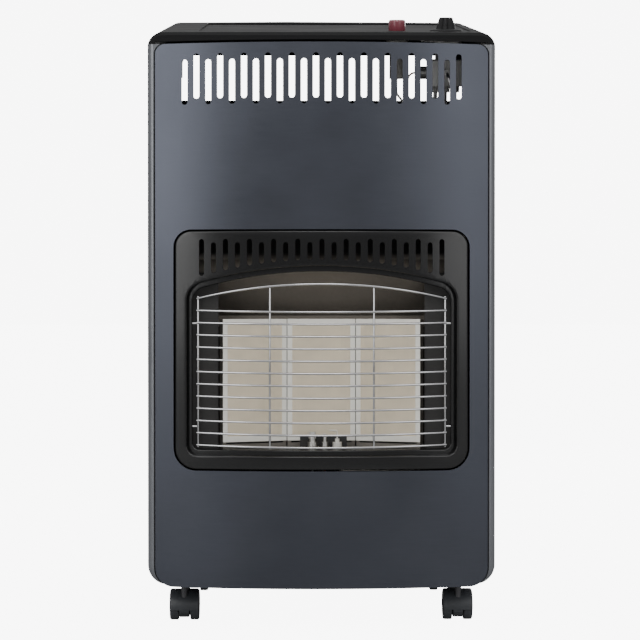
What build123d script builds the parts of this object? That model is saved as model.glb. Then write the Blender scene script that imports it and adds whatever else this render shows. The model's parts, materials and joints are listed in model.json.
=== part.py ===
"""A portable gas cabinet heater: sheet steel cabinet on casters, with three ceramic plaque burners.

Millimetres. X runs to the right as the heater is faced, the front faces -Y, Z runs up.
The origin is on the floor, under the middle of the heater.
"""
from build123d import *
from math import atan, cos, degrees, hypot, radians, sin, sqrt, tan
import os

# ---------------------------------------------------------------- driving sizes
# cabinet
cabinet_width = 420.0
cabinet_depth = 400.0
side_high_z = 702.0            # heads of the side panels
cover_nose_height = 9.63       # of the top over them, in front
cover_slope = 9.7              # degrees that the top rises towards the back
cover_crown = 1.5              # how much the top stands up in the middle
sheet = 1.0                    # thickness of the cabinet's steel sheet
bow_radius = 750.0             # bow of the front, seen from above
bow_sides = 160                # flat strips that would go all round the bow's circle
guard_proud = 6.0              # how far the guard's middle stands in front of the panel

# front panel
panel_low_z = 49.0
panel_head_gap = 0.5           # under the heads of the side panels
panel_low_radius = 22.0
panel_high_radius = 12.0
panel_gap = 1.6                # dark line between the front panel and its surround
panel_rim_depth = 12.0
outlet_count = 24
outlet_pitch = 14.3
outlet_width = 7.0
outlet_length = 54.0
outlet_head = 12.5             # from the higher slots to the panel's head
outlet_stagger = 7.0
slot_corner = 2.0              # cut corners that stand for rounded slot ends

# rounded strip beside the front panel, part of each side panel
strip_width = 8.0
strip_sides = 16               # flat strips that would go all round its curl
side_low_radius = 24.0
strip_set_back = 0.2           # of the strip's lip behind the front panel's sheet
landing_gap = 0.3              # behind the front panel's rim
side_low_z = 50.0
side_foot_reach = 28.0         # how far the foot turns in under the base
landing_width = 12.0
rear_lip = 10.0
side_rear_inset = 14.0
top_flange = 13.0
rear_lip_low_z = 84.0

# window and bezel
window_margin = 22.4           # from the window to the front panel's edge
window_low_z = 189.5
window_high_z = 478.5
window_low_radius = 27.0
window_high_radius = 21.0
window_rim_depth = 10.0
bezel_gap = 1.8
bezel_wall = 1.4
bezel_lip = 8.0                # of the side flanges, behind the front panel
vent_count = 21
vent_pitch = 14.4
vent_width = 6.0
vent_head = 11.5               # from the higher vents to the window's head
vent_stagger = 4.0
vent_over_arch = 7.5
mouth_margin = 16.0            # from the mouth to the window's sides
mouth_foot = 18.5              # from the window's foot to the mouth
mouth_head = 43.7              # from the mouth to the window's head
mouth_arch_radius = 550.0
mouth_low_radius = 12.0
mouth_high_radius = 22.0
mouth_step_depth = 8.0
mouth_step_width = 6.5
mouth_depth = 15.0

# wire guard
guard_margin = 12.0            # from the mouth's sides to the bars' ends
guard_sagitta = 28.0
guard_runs = 8                 # straight runs that make up each bowed bar
guard_bar_count = 12
guard_foot = 12.0              # from the mouth's foot to the lowest bar
guard_droop = 2.0
guard_head = 38.8              # from the arched bar's ends to the mouth's head
guard_arch_gap = 14.3          # from the highest level bar to the arched bar's ends
guard_arch_rise = 17.0
guard_upright_x = 62.0
wire = 2.6
wire_sides = 6
guard_weld = 0.35              # how far two welded wires sink into each other
guard_lug_length = 13.0
guard_lug_inset = (22.0, 30.0)  # from the lowest bar, and from the arched bar's ends
guard_lug_clearance = 0.3

# top cover
cover_wall = 2.5
cover_top_wall = 5.5
cover_corner_radius = 19.0
cover_rear_radius = 15.0
cover_nose_bevel = 3.5
cover_nose_gap = 2.7
tray_depth = 2.6
tray_left_margin = 60.0
tray_right_margin = 26.0
tray_front_margin = 66.0
tray_back_margin = 50.0
tray_radius = 14.0
rear_outlet_margin = 22.0      # from the outlet to the cabinet's sides
rear_outlet_head = 47.0        # from the outlet to the cover's highest edge
rear_outlet_radius = 12.0

# base, divider and rear
tray_side_height = 34.0
tray_lip_height = 15.0
tray_front_inset = 50.0
tray_rear_inset = 3.0          # in front of the side panels' rear edges
nest_clearance = 0.1
platform_width = 300.0         # raised pressing that the gas cylinder stands on
platform_depth = 240.0
platform_rise = 1.5
platform_radius = 20.0
burner_room = 100.0            # from the front to the divider
divider_head = 77.0            # under the heads of the side panels
divider_flange = 12.0
rail_head = 34.0               # under the heads of the side panels
rail_height = 28.0
rail_flange = 12.0
rear_cover_foot = 10.0         # over the side panels' foot
rear_cover_lap = 20.0          # over the rail
rear_cover_rim = 13.7
rear_cover_side_gap = 0.3
rear_cover_radius = 7.0
pivot_radius = 2.5
pivot_clearance = 0.1
pivot_from_face = 6.5
pivot_from_edge = 6.5
pivot_inset = 60.0             # from the cabinet's sides
ear_thickness = 2.0
ear_radius = 4.5
ear_gap = 0.7
pin_spare = 1.0                # how far a pin stands out of the ears
catch_inset = 90.0             # from the cabinet's sides
catch_width = 40.0
catch_height = 14.0
catch_gap = 0.3
catch_corner = 2.0
rear_vent_rows = 5
rear_vent_pitch = 14.0
rear_vent_length = 120.0
rear_vent_width = 5.0
rear_vent_x = 95.0
rear_vent_foot = 50.0          # from the rear cover's foot to the lower vents
rear_vent_head = 160.0         # from the upper vents' foot to the cover's head
grip_width = 100.0
grip_height = 26.0
grip_radius = 10.0
grip_head = 38.0               # from the grip's middle to the cover's head

# burners
few_sides = 12                 # sides of the small round pieces that repeat or lie hidden
shelf_over_mouth = 6.0         # height of the shelf over the mouth's foot
shelf_beyond_mouth = 1.0
shelf_depth = 60.0
shelf_flange = 10.0
casing_width = 83.0
casing_height = 157.0
casing_depth = 22.0
casing_back_taper = 7.0
casing_wall = 1.2
casing_joint = 0.8             # room between two casings
plaque_width = 73.0
plaque_height = 145.0
plaque_thickness = 12.0
plaque_clearance = 0.3
frame_thickness = 0.8
frame_lap = 1.0
burner_stand_off = 28.0        # from the divider to the middle casing's front
burner_turn = 22.5             # degrees that the outer casings turn in
venturi_radius = 9.0
venturi_wall = 1.0
venturi_length = 64.0
venturi_clearance = 0.4
injector_gap = 2.0
injector_radius = 5.0
injector_hex = 14.0
injector_hex_height = 4.0
injector_shoulder = 9.0
injector_tail = 9.0
injector_tip_radius = 3.0
injector_bracket_depth = 44.0
injector_bracket_flange = 16.0
injector_bracket_inset = 40.0  # from the shelf's ends
shield_depth = 48.0            # from the divider to the shields' faces
shield_gap = 0.7
shield_head_gap = 1.0          # under the deflector
deflector_over_casing = 4.0
deflector_over_mouth = 8.2
deflector_depth = 60.0
deflector_tab = 14.0
deflector_lip = 7.0

# pilot group
pilot_stand_off = 22.0         # in front of the middle casing
pilot_x = -11.0
probe_x = 4.0
electrode_x = 19.0
pilot_bracket_left_x = -26.0
pilot_bracket_right_x = 31.0
pilot_bracket_depth = 17.0
pilot_bracket_height = 16.0
pilot_radius = 3.5
probe_radius = 2.0
electrode_radius = 2.8
electrode_wire = 1.8
electrode_bare = 8.0           # wire that stands out of the ceramic
electrode_reach = 10.0         # of the bent wire towards the pilot
electrode_bend = 2.5
collar_width = 10.0
collar_height = 7.0
pilot_group_drop = 14.0        # under the shelf
pilot_group_rise = 20.0        # over it
pilot_head_height = 8.0
pilot_mouth_height = 4.0
pilot_hole_clearance = 0.3

# controls
control_set_back = 82.0        # from the front
knob_inset = 57.0              # from the cabinet's right side
button_pitch = 60.0            # from the knob to the button
knob_sides = 36
knob_skirt_radius = 20.0
knob_skirt_height = 2.5
knob_height = 18.0
knob_foot_radius = 12.0
knob_grip_radius = 8.0         # at the top of the grip
knob_flutes = 9
knob_flute_radius = 10.1       # at the foot of the grip
knob_travel = 4.0
knob_rest_gap = 1.0            # under the skirt, at rest
well_clearance = 2.5           # round a skirt or button, in its well
well_spare = 0.5               # left under a skirt or button when it is pushed home
well_wall = 2.5
well_sides = 24
button_radius = 10.4
button_height = 15.0
button_travel = 5.5
button_rest_gap = 0.5
button_stem_width = 8.0
button_stem_length = 20.0
slide_clearance = 0.1
igniter_radius = 9.0
igniter_length = 50.0
igniter_flange = 1.5
igniter_flange_radius = 12.4
igniter_hole_clearance = 0.3
nut_height = 5.0
nut_hex = 24.0
spindle_radius = 3.0
spindle_flat = 2.2             # from the spindle's axis to its flat
spindle_in_rotor = 22.0
spindle_in_knob = 9.0
spindle_clearance = 0.05
bracket_thickness = 1.5
bracket_under_well = 3.0
bracket_foot = 6.0
bracket_inset = 10.5           # from the outside of the cabinet to the bracket's leg
bracket_left = 32.0            # from the knob's axis
bracket_front = 22.0
bracket_back = 24.0
valve_flange = 38.0
valve_flange_thickness = 3.0
valve_neck_radius = 13.0
valve_neck_length = 20.0
valve_block_width = 40.0
valve_block_depth = 32.0
valve_block_height = 32.0
rotor_radius = 8.0
rotor_length = 32.0
rotor_rise = 0.8               # above the valve bracket
rotor_clearance = 0.05
rotor_end_gap = 0.3
magnet_radius = 8.0
magnet_length = 14.0
port_width = 10.0
port_length = 8.0
port_pitch = 12.0
tail_hex = 17.0
tail_hex_length = 8.0
tail_radius = 4.5
tail_length = 30.0
tail_bore_radius = 2.5
tail_bore_floor = 2.0

# pipes and leads
pipe_sides = 6
gas_pipe_diameter = 6.0
pilot_pipe_diameter = 4.0
probe_lead_diameter = 2.4
ignition_cable_diameter = 3.0
pipe_bend = 11.0
gas_lane_depth = 33.0          # from the divider to the stage pipes
gas_lane_inset = 11.0          # from the cabinet's side to the outermost stage pipe
gas_lane_pitch = 8.0
gas_run_drop = 18.0            # from the injectors' tails to the highest stage pipe
gas_run_pitch = 10.0
lead_bend = 9.0
lead_lane_inset = (22.0, 29.5, 36.5)  # pilot pipe, thermocouple lead, ignition cable
lead_run_drop = (42.0, 35.0, 27.5)  # under the burner shelf
lead_shoulder_drop = 20.0      # under the stage pipes' shoulder
lead_start = 12.0              # straight run out of the valve
probe_lead_drop = 75.0
cable_start = 18.0             # straight run out of the igniter
pipe_drop = 16.0               # straight run under the valve
pipe_shoulder = 142.0          # under the heads of the side panels

# casters
caster_side_inset = 42.0
caster_end_inset = 76.0
wheel_radius = 18.0
wheel_sides = 24
wheel_width = 11.0
wheel_inner_x = 7.0
hood_gap = 1.2
hood_wall = 1.6
hood_sides = 16
hood_web = 5.8                 # half width of the web between the wheels
hood_high_z = 38.5
hood_low_z = 14.0
web_low_z = 11.0
web_beyond_axle = 6.0
caster_trail = 13.0
stem_radius = 4.0
stem_clearance = 0.08
stem_end_gap = 0.2
stem_low_z = 15.0
stem_collar_width = 16.0
stem_collar_height = 4.0
axle_radius = 2.5
axle_clearance = 0.08

# ---------------------------------------------------------------- places worked out from them
half_width = cabinet_width / 2
front_y = -cabinet_depth / 2
rear_y = cabinet_depth / 2
side_rear_y = rear_y - side_rear_inset
panel_apex_y = front_y + guard_proud
bow_centre_y = panel_apex_y + bow_radius
slope_rise = tan(radians(cover_slope))
side_inner_x = half_width - sheet
rear_height = side_high_z + cover_nose_height + cabinet_depth * slope_rise
panel_high_z = side_high_z - panel_head_gap
panel_half = half_width - strip_width - panel_gap
outlet_low_z = panel_high_z - outlet_head - outlet_stagger - outlet_length

window_half = panel_half - window_margin
mouth_half = window_half - mouth_margin
mouth_low_z = window_low_z + mouth_foot
mouth_high_z = window_high_z - mouth_head
vent_high_z = window_high_z - vent_head - vent_stagger
guard_half = mouth_half - guard_margin
guard_low_z = mouth_low_z + guard_foot
guard_arch_end_z = mouth_high_z - guard_head
guard_bar_pitch = (guard_arch_end_z - guard_arch_gap - guard_low_z) / (guard_bar_count - 1)
guard_lug_z = (guard_low_z + guard_lug_inset[0], guard_arch_end_z - guard_lug_inset[1])

base_low_z = side_low_z + sheet
base_high_z = base_low_z + sheet
tray_front_lip_y = front_y + tray_front_inset
tray_rear_lip_y = side_rear_y - tray_rear_inset
divider_y = front_y + burner_room
divider_high_z = side_high_z - divider_head
platform_y = (divider_y + side_rear_y) / 2
platform_high_z = base_high_z + platform_rise
rail_high_z = side_high_z - rail_head
rail_low_z = rail_high_z - rail_height
rear_cover_low_z = side_low_z + rear_cover_foot
rear_cover_high_z = rail_low_z + rear_cover_lap
rear_vent_low_z = (rear_cover_low_z + rear_vent_foot, rear_cover_high_z - rear_vent_head)
grip_z = rear_cover_high_z - grip_head
rear_outlet_half = half_width - rear_outlet_margin
rear_outlet_high_z = rear_height - rear_outlet_head
pivot_x = half_width - pivot_inset
pivot_y = rear_y - pivot_from_face
pivot_z = rear_cover_low_z + pivot_from_edge
catch_x = half_width - catch_inset

shelf_high_z = mouth_low_z + shelf_over_mouth
shelf_low_z = shelf_high_z - sheet
shelf_half = mouth_half + shelf_beyond_mouth
burner_y = divider_y - burner_stand_off  # front of the middle casing
shield_front_y = divider_y - shield_depth
deflector_low_z = shelf_high_z + casing_height + deflector_over_casing
deflector_high_z = mouth_high_z + deflector_over_mouth
deflector_front_y = divider_y - deflector_depth
pilot_y = burner_y - pilot_stand_off
pilot_group_low_z = shelf_high_z - pilot_group_drop
pilot_group_high_z = shelf_high_z + pilot_group_rise

control_y = front_y + control_set_back
knob_x = half_width - knob_inset
button_x = knob_x - button_pitch
tray_floor = -tray_depth
pipe_shoulder_z = side_high_z - pipe_shoulder
gas_lane_y = divider_y - gas_lane_depth
caster_x = half_width - caster_side_inset
caster_y = rear_y - caster_end_inset


def bow_front_y(x, depth=0.0):
    """Y of the bowed front at x, or of the layer that lies depth behind it."""
    return bow_centre_y - sqrt((bow_radius - depth) ** 2 - x**2)


strip_front_y = bow_front_y(panel_half) + sheet + strip_set_back
strip_curl_y = strip_front_y + strip_width
landing_y = bow_front_y(panel_half, panel_rim_depth) + landing_gap


def cover_z(y):
    """Height of the top cover's crest at y."""
    return rear_height - (rear_y - y) * slope_rise


# ---------------------------------------------------------------- shared shapes
def upright_outline(half, low, high, low_radius, high_radius):
    """An upright outline, drawn in X and Z, with its own radius at the foot and at the head."""
    outline = Pos(0, (low + high) / 2) * Rectangle(2 * half, high - low)
    outline = fillet(outline.vertices().sort_by(Axis.Y)[:2], low_radius)
    return fillet(outline.vertices().sort_by(Axis.Y)[-2:], high_radius)


def front_prism(outline, from_y=front_y - 40, to_y=rear_y + 40):
    """Run an outline drawn in X and Z from one depth to another."""
    return extrude(Plane.XZ.offset(-to_y) * outline, amount=to_y - from_y)


def side_prism(outline, from_x, to_x):
    """Run an outline drawn in Y and Z from one side to the other."""
    return extrude(Plane.YZ.offset(from_x) * outline, amount=to_x - from_x)


def block(x, y, z):
    """A box between two values of each of x, y and z."""
    size = [high - low for low, high in (x, y, z)]
    middle = [(low + high) / 2 for low, high in (x, y, z)]
    return Pos(*middle) * Box(*size)


def bow_layer(front_depth, back_depth):
    """The layer between two depths behind the bowed front, in flat strips that stand for the bow."""
    outer = RegularPolygon(bow_radius - front_depth, bow_sides)
    ring = outer - RegularPolygon(bow_radius - back_depth, bow_sides)
    reach = block((-half_width, half_width), (2 * front_y, divider_y), (0, rear_height))
    return extrude(Pos(0, bow_centre_y) * ring, amount=rear_height) & reach


def slot_row(count, pitch, width, ends):
    """Upright slots in a row; ends(i, x) gives the foot and head of slot i."""
    slots = []
    for i in range(count):
        x = (i - (count - 1) / 2) * pitch
        low, high = ends(i, x)
        slot = chamfer(Rectangle(width, high - low).vertices(), slot_corner)
        slots.append(Pos(x, (low + high) / 2) * slot)
    return slots


def panel_outline(grow=0.0):
    """The front panel's outline, or one larger all round."""
    return upright_outline(
        panel_half + grow,
        panel_low_z - grow,
        panel_high_z + grow,
        panel_low_radius + grow,
        panel_high_radius + grow,
    )


def window_outline(inset=0.0):
    """The front panel's window, or an outline that lies inside it."""
    return upright_outline(
        window_half - inset,
        window_low_z + inset,
        window_high_z - inset,
        window_low_radius - inset,
        window_high_radius - inset,
    )


def mouth_arch_z(x):
    """Height of the arched head of the bezel's mouth at x."""
    return mouth_high_z - mouth_arch_radius + sqrt(mouth_arch_radius**2 - x**2)


def mouth_outline(inset=0.0):
    """The arched mouth of the bezel, or an outline that lies inside it."""
    half = mouth_half
    shoulder = mouth_arch_z(half)
    sides = Polyline((-half, shoulder), (-half, mouth_low_z), (half, mouth_low_z), (half, shoulder))
    head = ThreePointArc((half, shoulder), (0, mouth_high_z), (-half, shoulder))
    outline = make_face(sides + head)
    outline = fillet(outline.vertices().sort_by(Axis.Y)[:2], mouth_low_radius)
    outline = fillet(outline.vertices().sort_by(Axis.Y)[-2:], mouth_high_radius)
    return offset(outline, amount=-inset) if inset else outline


def hexagon(across_flats):
    """A hexagon of the size that a spanner would take."""
    return RegularPolygon(across_flats / 2, 6, major_radius=False)


def flatted_bore(radius):
    """A bore with few sides, which a round pin of this radius fits."""
    return RegularPolygon(radius, few_sides, major_radius=False)


def tube_along(points, bends, diameter):
    """A pipe or lead of one diameter along straight runs joined by tangent arcs."""
    print(f"tube of {diameter} mm: bend radii {bends} mm")
    path = FilletPolyline(*points, radius=bends)
    section = Plane(origin=path @ 0, z_dir=path % 0) * RegularPolygon(diameter / 2, pipe_sides)
    return sweep(section, path=path)


def control_plane(x):
    """The plane of the control tray's floor at one of the two controls."""
    floor_z = cover_z(control_y) + tray_floor
    tilt = radians(cover_slope)
    return Plane(origin=(x, control_y, floor_z), x_dir=(1, 0, 0), z_dir=(0, -sin(tilt), cos(tilt)))


def few_sided(radius, low, high):
    """An upright bar on the axis x=y=0 with few sides, for small round pieces."""
    return Pos(0, 0, low) * extrude(RegularPolygon(radius, few_sides), amount=high - low)


def stud(plane, radius, low, high, sides=0):
    """A bar square to a control plane, between two heights over it, round or with some number of sides."""
    section = RegularPolygon(radius, sides) if sides else Circle(radius)
    return extrude(plane.offset(low) * section, amount=high - low)


# ---------------------------------------------------------------- cabinet
def outlet_ends(i, x):
    """Foot and head of an outlet slot; every second one stands higher."""
    low = outlet_low_z + (i % 2) * outlet_stagger
    return low, low + outlet_length


def front_panel():
    """The bowed front: a sheet with a rim turned back all round and round its window."""
    outline = panel_outline()
    window = window_outline()
    face = front_prism(outline) & bow_layer(0, sheet)
    rim = front_prism(outline - panel_outline(-sheet)) & bow_layer(0, panel_rim_depth)
    window_rim = front_prism(window_outline(-sheet) - window) & bow_layer(0, window_rim_depth)
    slots = slot_row(outlet_count, outlet_pitch, outlet_width, outlet_ends)
    return face + rim + window_rim - front_prism(window) - [front_prism(s) for s in slots]


def side_section():
    """Plan of the right side panel: wall, rounded strip, lip, landing for the front panel, rear lip."""
    strip_x = half_width - strip_width
    wall = Pos((half_width + side_inner_x) / 2, (strip_curl_y + side_rear_y) / 2)
    wall = wall * Rectangle(sheet, side_rear_y - strip_curl_y)
    ring = RegularPolygon(strip_width, strip_sides) - RegularPolygon(strip_width - sheet, strip_sides)
    quarter = Pos(strip_width / 2, -strip_width / 2) * Rectangle(strip_width, strip_width)
    curl = Pos(strip_x, strip_curl_y) * (ring & quarter)
    lip_back = landing_y + sheet
    lip = Pos(strip_x + sheet / 2, (strip_front_y + lip_back) / 2)
    lip *= Rectangle(sheet, lip_back - strip_front_y)
    landing_x = strip_x + sheet - landing_width
    landing = Pos(landing_x + landing_width / 2, landing_y + sheet / 2) * Rectangle(landing_width, sheet)
    rear = Pos(half_width - rear_lip / 2, side_rear_y - sheet / 2) * Rectangle(rear_lip, sheet)
    return wall + curl + lip + landing + rear


def right_side_panel():
    """A side sheet whose front edge curls round and whose foot turns under the base."""
    foot_x = half_width - side_foot_reach
    path = FilletPolyline(
        (half_width, 0, side_high_z),
        (half_width, 0, side_low_z),
        (foot_x, 0, side_low_z),
        radius=side_low_radius,
    )
    panel = sweep(Plane.XY.offset(side_high_z) * side_section(), path=path)
    panel -= front_prism(panel_outline(panel_gap), to_y=landing_y - landing_gap)
    strip_x = half_width - strip_width
    corner = block(
        (strip_x - panel_high_radius, strip_x + sheet / 2),
        (strip_front_y, strip_front_y + sheet),
        (side_high_z - panel_high_radius - 3, side_high_z),
    )
    panel += corner - front_prism(panel_outline(panel_gap))
    panel += block(
        (side_inner_x - top_flange, side_inner_x + sheet / 2),
        (landing_y + sheet, side_rear_y),
        (side_high_z - sheet, side_high_z),
    )
    swing = hypot(rear_cover_rim - pivot_from_face, pivot_from_edge)
    rear_cut = (pivot_y - swing - rear_cover_side_gap, rear_y)
    return panel - block((0, side_inner_x), rear_cut, (0, rear_lip_low_z))


def cover_form(inset, top_inset):
    """The top cover's outer form, or the hollow under it."""
    half = half_width - inset
    low = -cover_corner_radius - cabinet_depth / 2
    sides = Polyline((-half, -cover_crown), (-half, low), (half, low), (half, -cover_crown))
    head = ThreePointArc((half, -cover_crown), (0, 0), (-half, -cover_crown))
    section = make_face(sides + head)
    section = fillet(section.vertices().sort_by(Axis.Y)[-2:], cover_corner_radius - inset)
    tilt = radians(cover_slope)
    crest = (0, front_y, cover_z(front_y) - top_inset)
    start = Plane(origin=crest, x_dir=(1, 0, 0), z_dir=(0, -cos(tilt), -sin(tilt)))
    sloped = extrude(start.offset(cabinet_depth / 4) * section, amount=-cabinet_depth * 1.5)
    back_y = rear_y - inset
    plan = Pos(0, bow_centre_y) * Circle(bow_radius - inset)
    plan &= Pos(0, back_y - cabinet_depth) * Rectangle(2 * half, 2 * cabinet_depth)
    plan = fillet(plan.vertices().sort_by(Axis.Y)[-2:], cover_rear_radius - inset)
    low_z = side_high_z - (1 if inset else 0)
    return sloped & Pos(0, 0, low_z) * extrude(plan, amount=rear_height)


def top_cover():
    """The moulded top: a sloping hood with a sunk tray, two control wells and a rear air outlet."""
    outer = cover_form(0, 0)
    nose = outer.edges().filter_by(lambda e: e.length > half_width and e.center().Y < strip_front_y)
    outer = chamfer(nose.sort_by(Axis.Z)[-1], cover_nose_bevel)
    cover = outer - cover_form(cover_wall, cover_top_wall)
    tray_plane = control_plane((tray_left_margin - tray_right_margin) / 2)
    tray_width = cabinet_width - tray_left_margin - tray_right_margin
    tray_length = (cabinet_depth - tray_front_margin - tray_back_margin) / cos(radians(cover_slope))
    tray_v = ((tray_front_margin - tray_back_margin) / 2 - control_y) / cos(radians(cover_slope))
    tray = Pos(0, tray_v) * RectangleRounded(tray_width, tray_length, tray_radius)
    cover -= extrude(tray_plane * tray, amount=tray_depth + cover_crown)
    cover -= block(
        (-panel_half - panel_gap + 2, panel_half + panel_gap - 2),
        (front_y - 10, strip_front_y + cover_wall + 1),
        (side_high_z - 1, panel_high_z + cover_nose_gap),
    )
    outlet_height = 2 * (rear_outlet_high_z - side_high_z + rear_outlet_radius)
    outlet = Pos(0, rear_outlet_high_z - outlet_height / 2)
    outlet *= RectangleRounded(2 * rear_outlet_half, outlet_height, rear_outlet_radius)
    cover -= front_prism(outlet, from_y=rear_y - cover_wall - 1)
    for x, radius, depth, hole in control_wells():
        plane = control_plane(x)
        cover += stud(plane, radius + well_wall, -depth - well_wall, -cover_wall / 2, well_sides)
        cover -= stud(plane, radius, -depth, tray_depth + 1, well_sides)
        cover -= stud(plane, hole, -depth - well_wall - 1, 0, well_sides)
    return cover


def knob_well_depth():
    """How deep the knob's well must be for its travel."""
    return knob_travel - knob_rest_gap + well_spare


def button_well_depth():
    """How deep the button's well must be for its travel and the igniter's flange."""
    return button_travel - button_rest_gap + well_spare + igniter_flange


def control_wells():
    """Place, radius, depth and hole radius of the two wells."""
    igniter_hole = igniter_radius + igniter_hole_clearance
    return (
        (knob_x, knob_skirt_radius + well_clearance, knob_well_depth(), rotor_radius),
        (button_x, button_radius + well_clearance, button_well_depth(), igniter_hole),
    )


def base_form(inset):
    """The base tray's outline in X and Z, nested in the side panels."""
    half = side_inner_x - nest_clearance - inset
    radius = side_low_radius - sheet - nest_clearance - inset
    return upright_outline(half, base_low_z + inset, base_low_z + 4 * tray_side_height, radius, 1.0)


def everything_over(z):
    """A block that takes in the whole cabinet over a height."""
    return block((-half_width, half_width), (front_y, rear_y), (z, rear_height))


def base_tray():
    """The floor of the cabinet: a trough with lips, stem holes and the ears for the rear cover."""
    run = {"from_y": tray_front_lip_y, "to_y": tray_rear_lip_y}
    trough = front_prism(base_form(0) - base_form(sheet), **run)
    front_lip = front_prism(base_form(0), from_y=tray_front_lip_y, to_y=tray_front_lip_y + sheet)
    rear_lip_sheet = front_prism(base_form(0), from_y=tray_rear_lip_y - sheet, to_y=tray_rear_lip_y)
    tray = trough - everything_over(base_low_z + tray_side_height)
    tray += front_lip + rear_lip_sheet - everything_over(base_low_z + tray_lip_height)
    tray += platform(0, base_low_z, platform_high_z)
    tray -= platform(sheet, base_low_z, platform_high_z - sheet)
    for side in (-1, 1):
        tray += base_ear(side)
    return tray


def platform(inset, low_z, high_z):
    """The pressing that the gas cylinder stands on, or the hollow under it."""
    size = (platform_width - 2 * inset, platform_depth - 2 * inset)
    outline = RectangleRounded(*size, platform_radius - inset)
    return Pos(0, platform_y, low_z) * extrude(outline, amount=high_z - low_z)


def ear_outline(reach_y, low_z, high_z):
    """An ear in Y and Z: an eye round the pivot, joined to a plate at reach_y."""
    near, far = sorted((pivot_y, reach_y))
    arm = Pos((near + far) / 2, (low_z + high_z) / 2) * Rectangle(far - near, high_z - low_z)
    return arm + Pos(pivot_y, pivot_z) * RegularPolygon(ear_radius, few_sides)


def base_ear(side):
    """One of the base's two ears, which hold the pivot pins."""
    inner = side * pivot_x
    outer = inner - side * ear_thickness
    outline = ear_outline(tray_rear_lip_y - sheet / 2, pivot_z - ear_radius, pivot_z + ear_radius)
    low, high = sorted((inner, outer))
    foot = block((low, high), (tray_rear_lip_y - sheet, tray_rear_lip_y + 4), (base_low_z, pivot_z))
    bore = side_prism(Pos(pivot_y, pivot_z) * flatted_bore(pivot_radius), low - 1, high + 1)
    return side_prism(outline, low, high) + foot - bore


def divider_panel():
    """The sheet between the burner and the cylinder space, with its sides turned back."""
    foot = front_prism(base_form(sheet + nest_clearance), from_y=divider_y, to_y=divider_y + sheet)
    foot -= everything_over(base_low_z + tray_side_height)
    half = side_inner_x - 2 * nest_clearance - sheet
    rise = (base_low_z + tray_side_height - 1, divider_high_z)
    face = block((-half, half), (divider_y, divider_y + sheet), rise)
    panel = foot + face
    for side in (-1, 1):
        wall = sorted((side * half, side * (half - sheet)))
        panel += block(wall, (divider_y, divider_y + divider_flange), rise)
    lowest = min(v.Z for v in panel.vertices())
    return Pos(0, 0, base_high_z - lowest) * panel


def rear_rail():
    """A channel across the back that ties the side panels together."""
    half = side_inner_x - nest_clearance
    back = (side_rear_y - 2 * sheet, side_rear_y - sheet)
    web = block((-half, half), back, (rail_low_z, rail_high_z))
    shelf = (back[1] - rail_flange, back[1])
    low = block((-half, half), shelf, (rail_low_z, rail_low_z + sheet))
    high = block((-half, half), shelf, (rail_high_z - sheet, rail_high_z))
    return web + low + high


def rear_cover():
    """The tilting back: a shallow pan with vents, a grip slot and two ears."""
    half = side_inner_x - rear_cover_side_gap
    outline = Pos(0, (rear_cover_low_z + rear_cover_high_z) / 2)
    outline = outline * Rectangle(2 * half, rear_cover_high_z - rear_cover_low_z)
    inner = Pos(0, (rear_cover_low_z + rear_cover_high_z) / 2 - sheet)
    inner = inner * Rectangle(2 * (half - sheet), rear_cover_high_z - rear_cover_low_z)
    pan = front_prism(outline, from_y=rear_y - rear_cover_rim, to_y=rear_y)
    pan = fillet(pan.edges().filter_by(Axis.Z).sort_by(Axis.Y)[-2:], rear_cover_radius)
    hollow = front_prism(inner, from_y=rear_y - rear_cover_rim - 1, to_y=rear_y - sheet)
    pan -= fillet(hollow.edges().filter_by(Axis.Z).sort_by(Axis.Y)[-2:], rear_cover_radius - sheet)
    cuts = [Pos(0, grip_z) * RectangleRounded(grip_width, grip_height, grip_radius)]
    for low_z in rear_vent_low_z:
        for row in range(rear_vent_rows):
            for side in (-1, 1):
                place = Pos(side * rear_vent_x, low_z + row * rear_vent_pitch)
                cuts.append(place * Rectangle(rear_vent_length, rear_vent_width))
    pan -= [front_prism(cut, from_y=rear_y - rear_cover_rim) for cut in cuts]
    for side in (-1, 1):
        near = side * (pivot_x + ear_gap)
        far = near + side * ear_thickness
        low, high = sorted((near, far))
        outline = ear_outline(rear_y - sheet / 2, pivot_z - ear_radius, pivot_z + ear_radius)
        bore = Pos(pivot_y, pivot_z) * Circle(pivot_radius + pivot_clearance)
        pan += side_prism(outline, low, high)
        pan -= side_prism(bore, low - 0.1, high + 0.1)
    return pan


def pivot_pins():
    """The two pins that the rear cover tilts on, fixed in the base's ears."""
    pins = []
    for side in (-1, 1):
        start = side * (pivot_x - ear_thickness - pin_spare)
        end = side * (pivot_x + ear_gap + ear_thickness + pin_spare)
        pins.append(side_prism(Pos(pivot_y, pivot_z) * Circle(pivot_radius), *sorted((start, end))))
    return pins


def cover_catches():
    """Two magnetic catches on the rail that hold the rear cover shut."""
    catches = []
    middle = (rail_low_z + rear_cover_high_z - sheet) / 2
    rise = (middle - catch_height / 2, middle + catch_height / 2)
    for side in (-1, 1):
        reach = (side * catch_x - catch_width / 2, side * catch_x + catch_width / 2)
        body = block(reach, (side_rear_y - sheet, rear_y - sheet - catch_gap), rise)
        catches.append(chamfer(body.edges().filter_by(Axis.Y), catch_corner))
    return catches


# ---------------------------------------------------------------- window
def vent_ends(i, x):
    """Foot and head of a bezel vent: the feet follow the arch of the mouth."""
    return mouth_arch_z(x) + vent_over_arch, vent_high_z + ((i + 1) % 2) * vent_stagger


def bezel_flanges():
    """The two upright flanges that hold the bezel behind the front panel, in the rough."""
    near = window_half - bezel_gap - bezel_wall
    far = window_half + bezel_lip
    rise = (window_low_z + window_low_radius, window_high_z - window_high_radius)
    depth = (front_y, divider_y)
    return block((near, far), depth, rise) + block((-far, -near), depth, rise)


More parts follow.
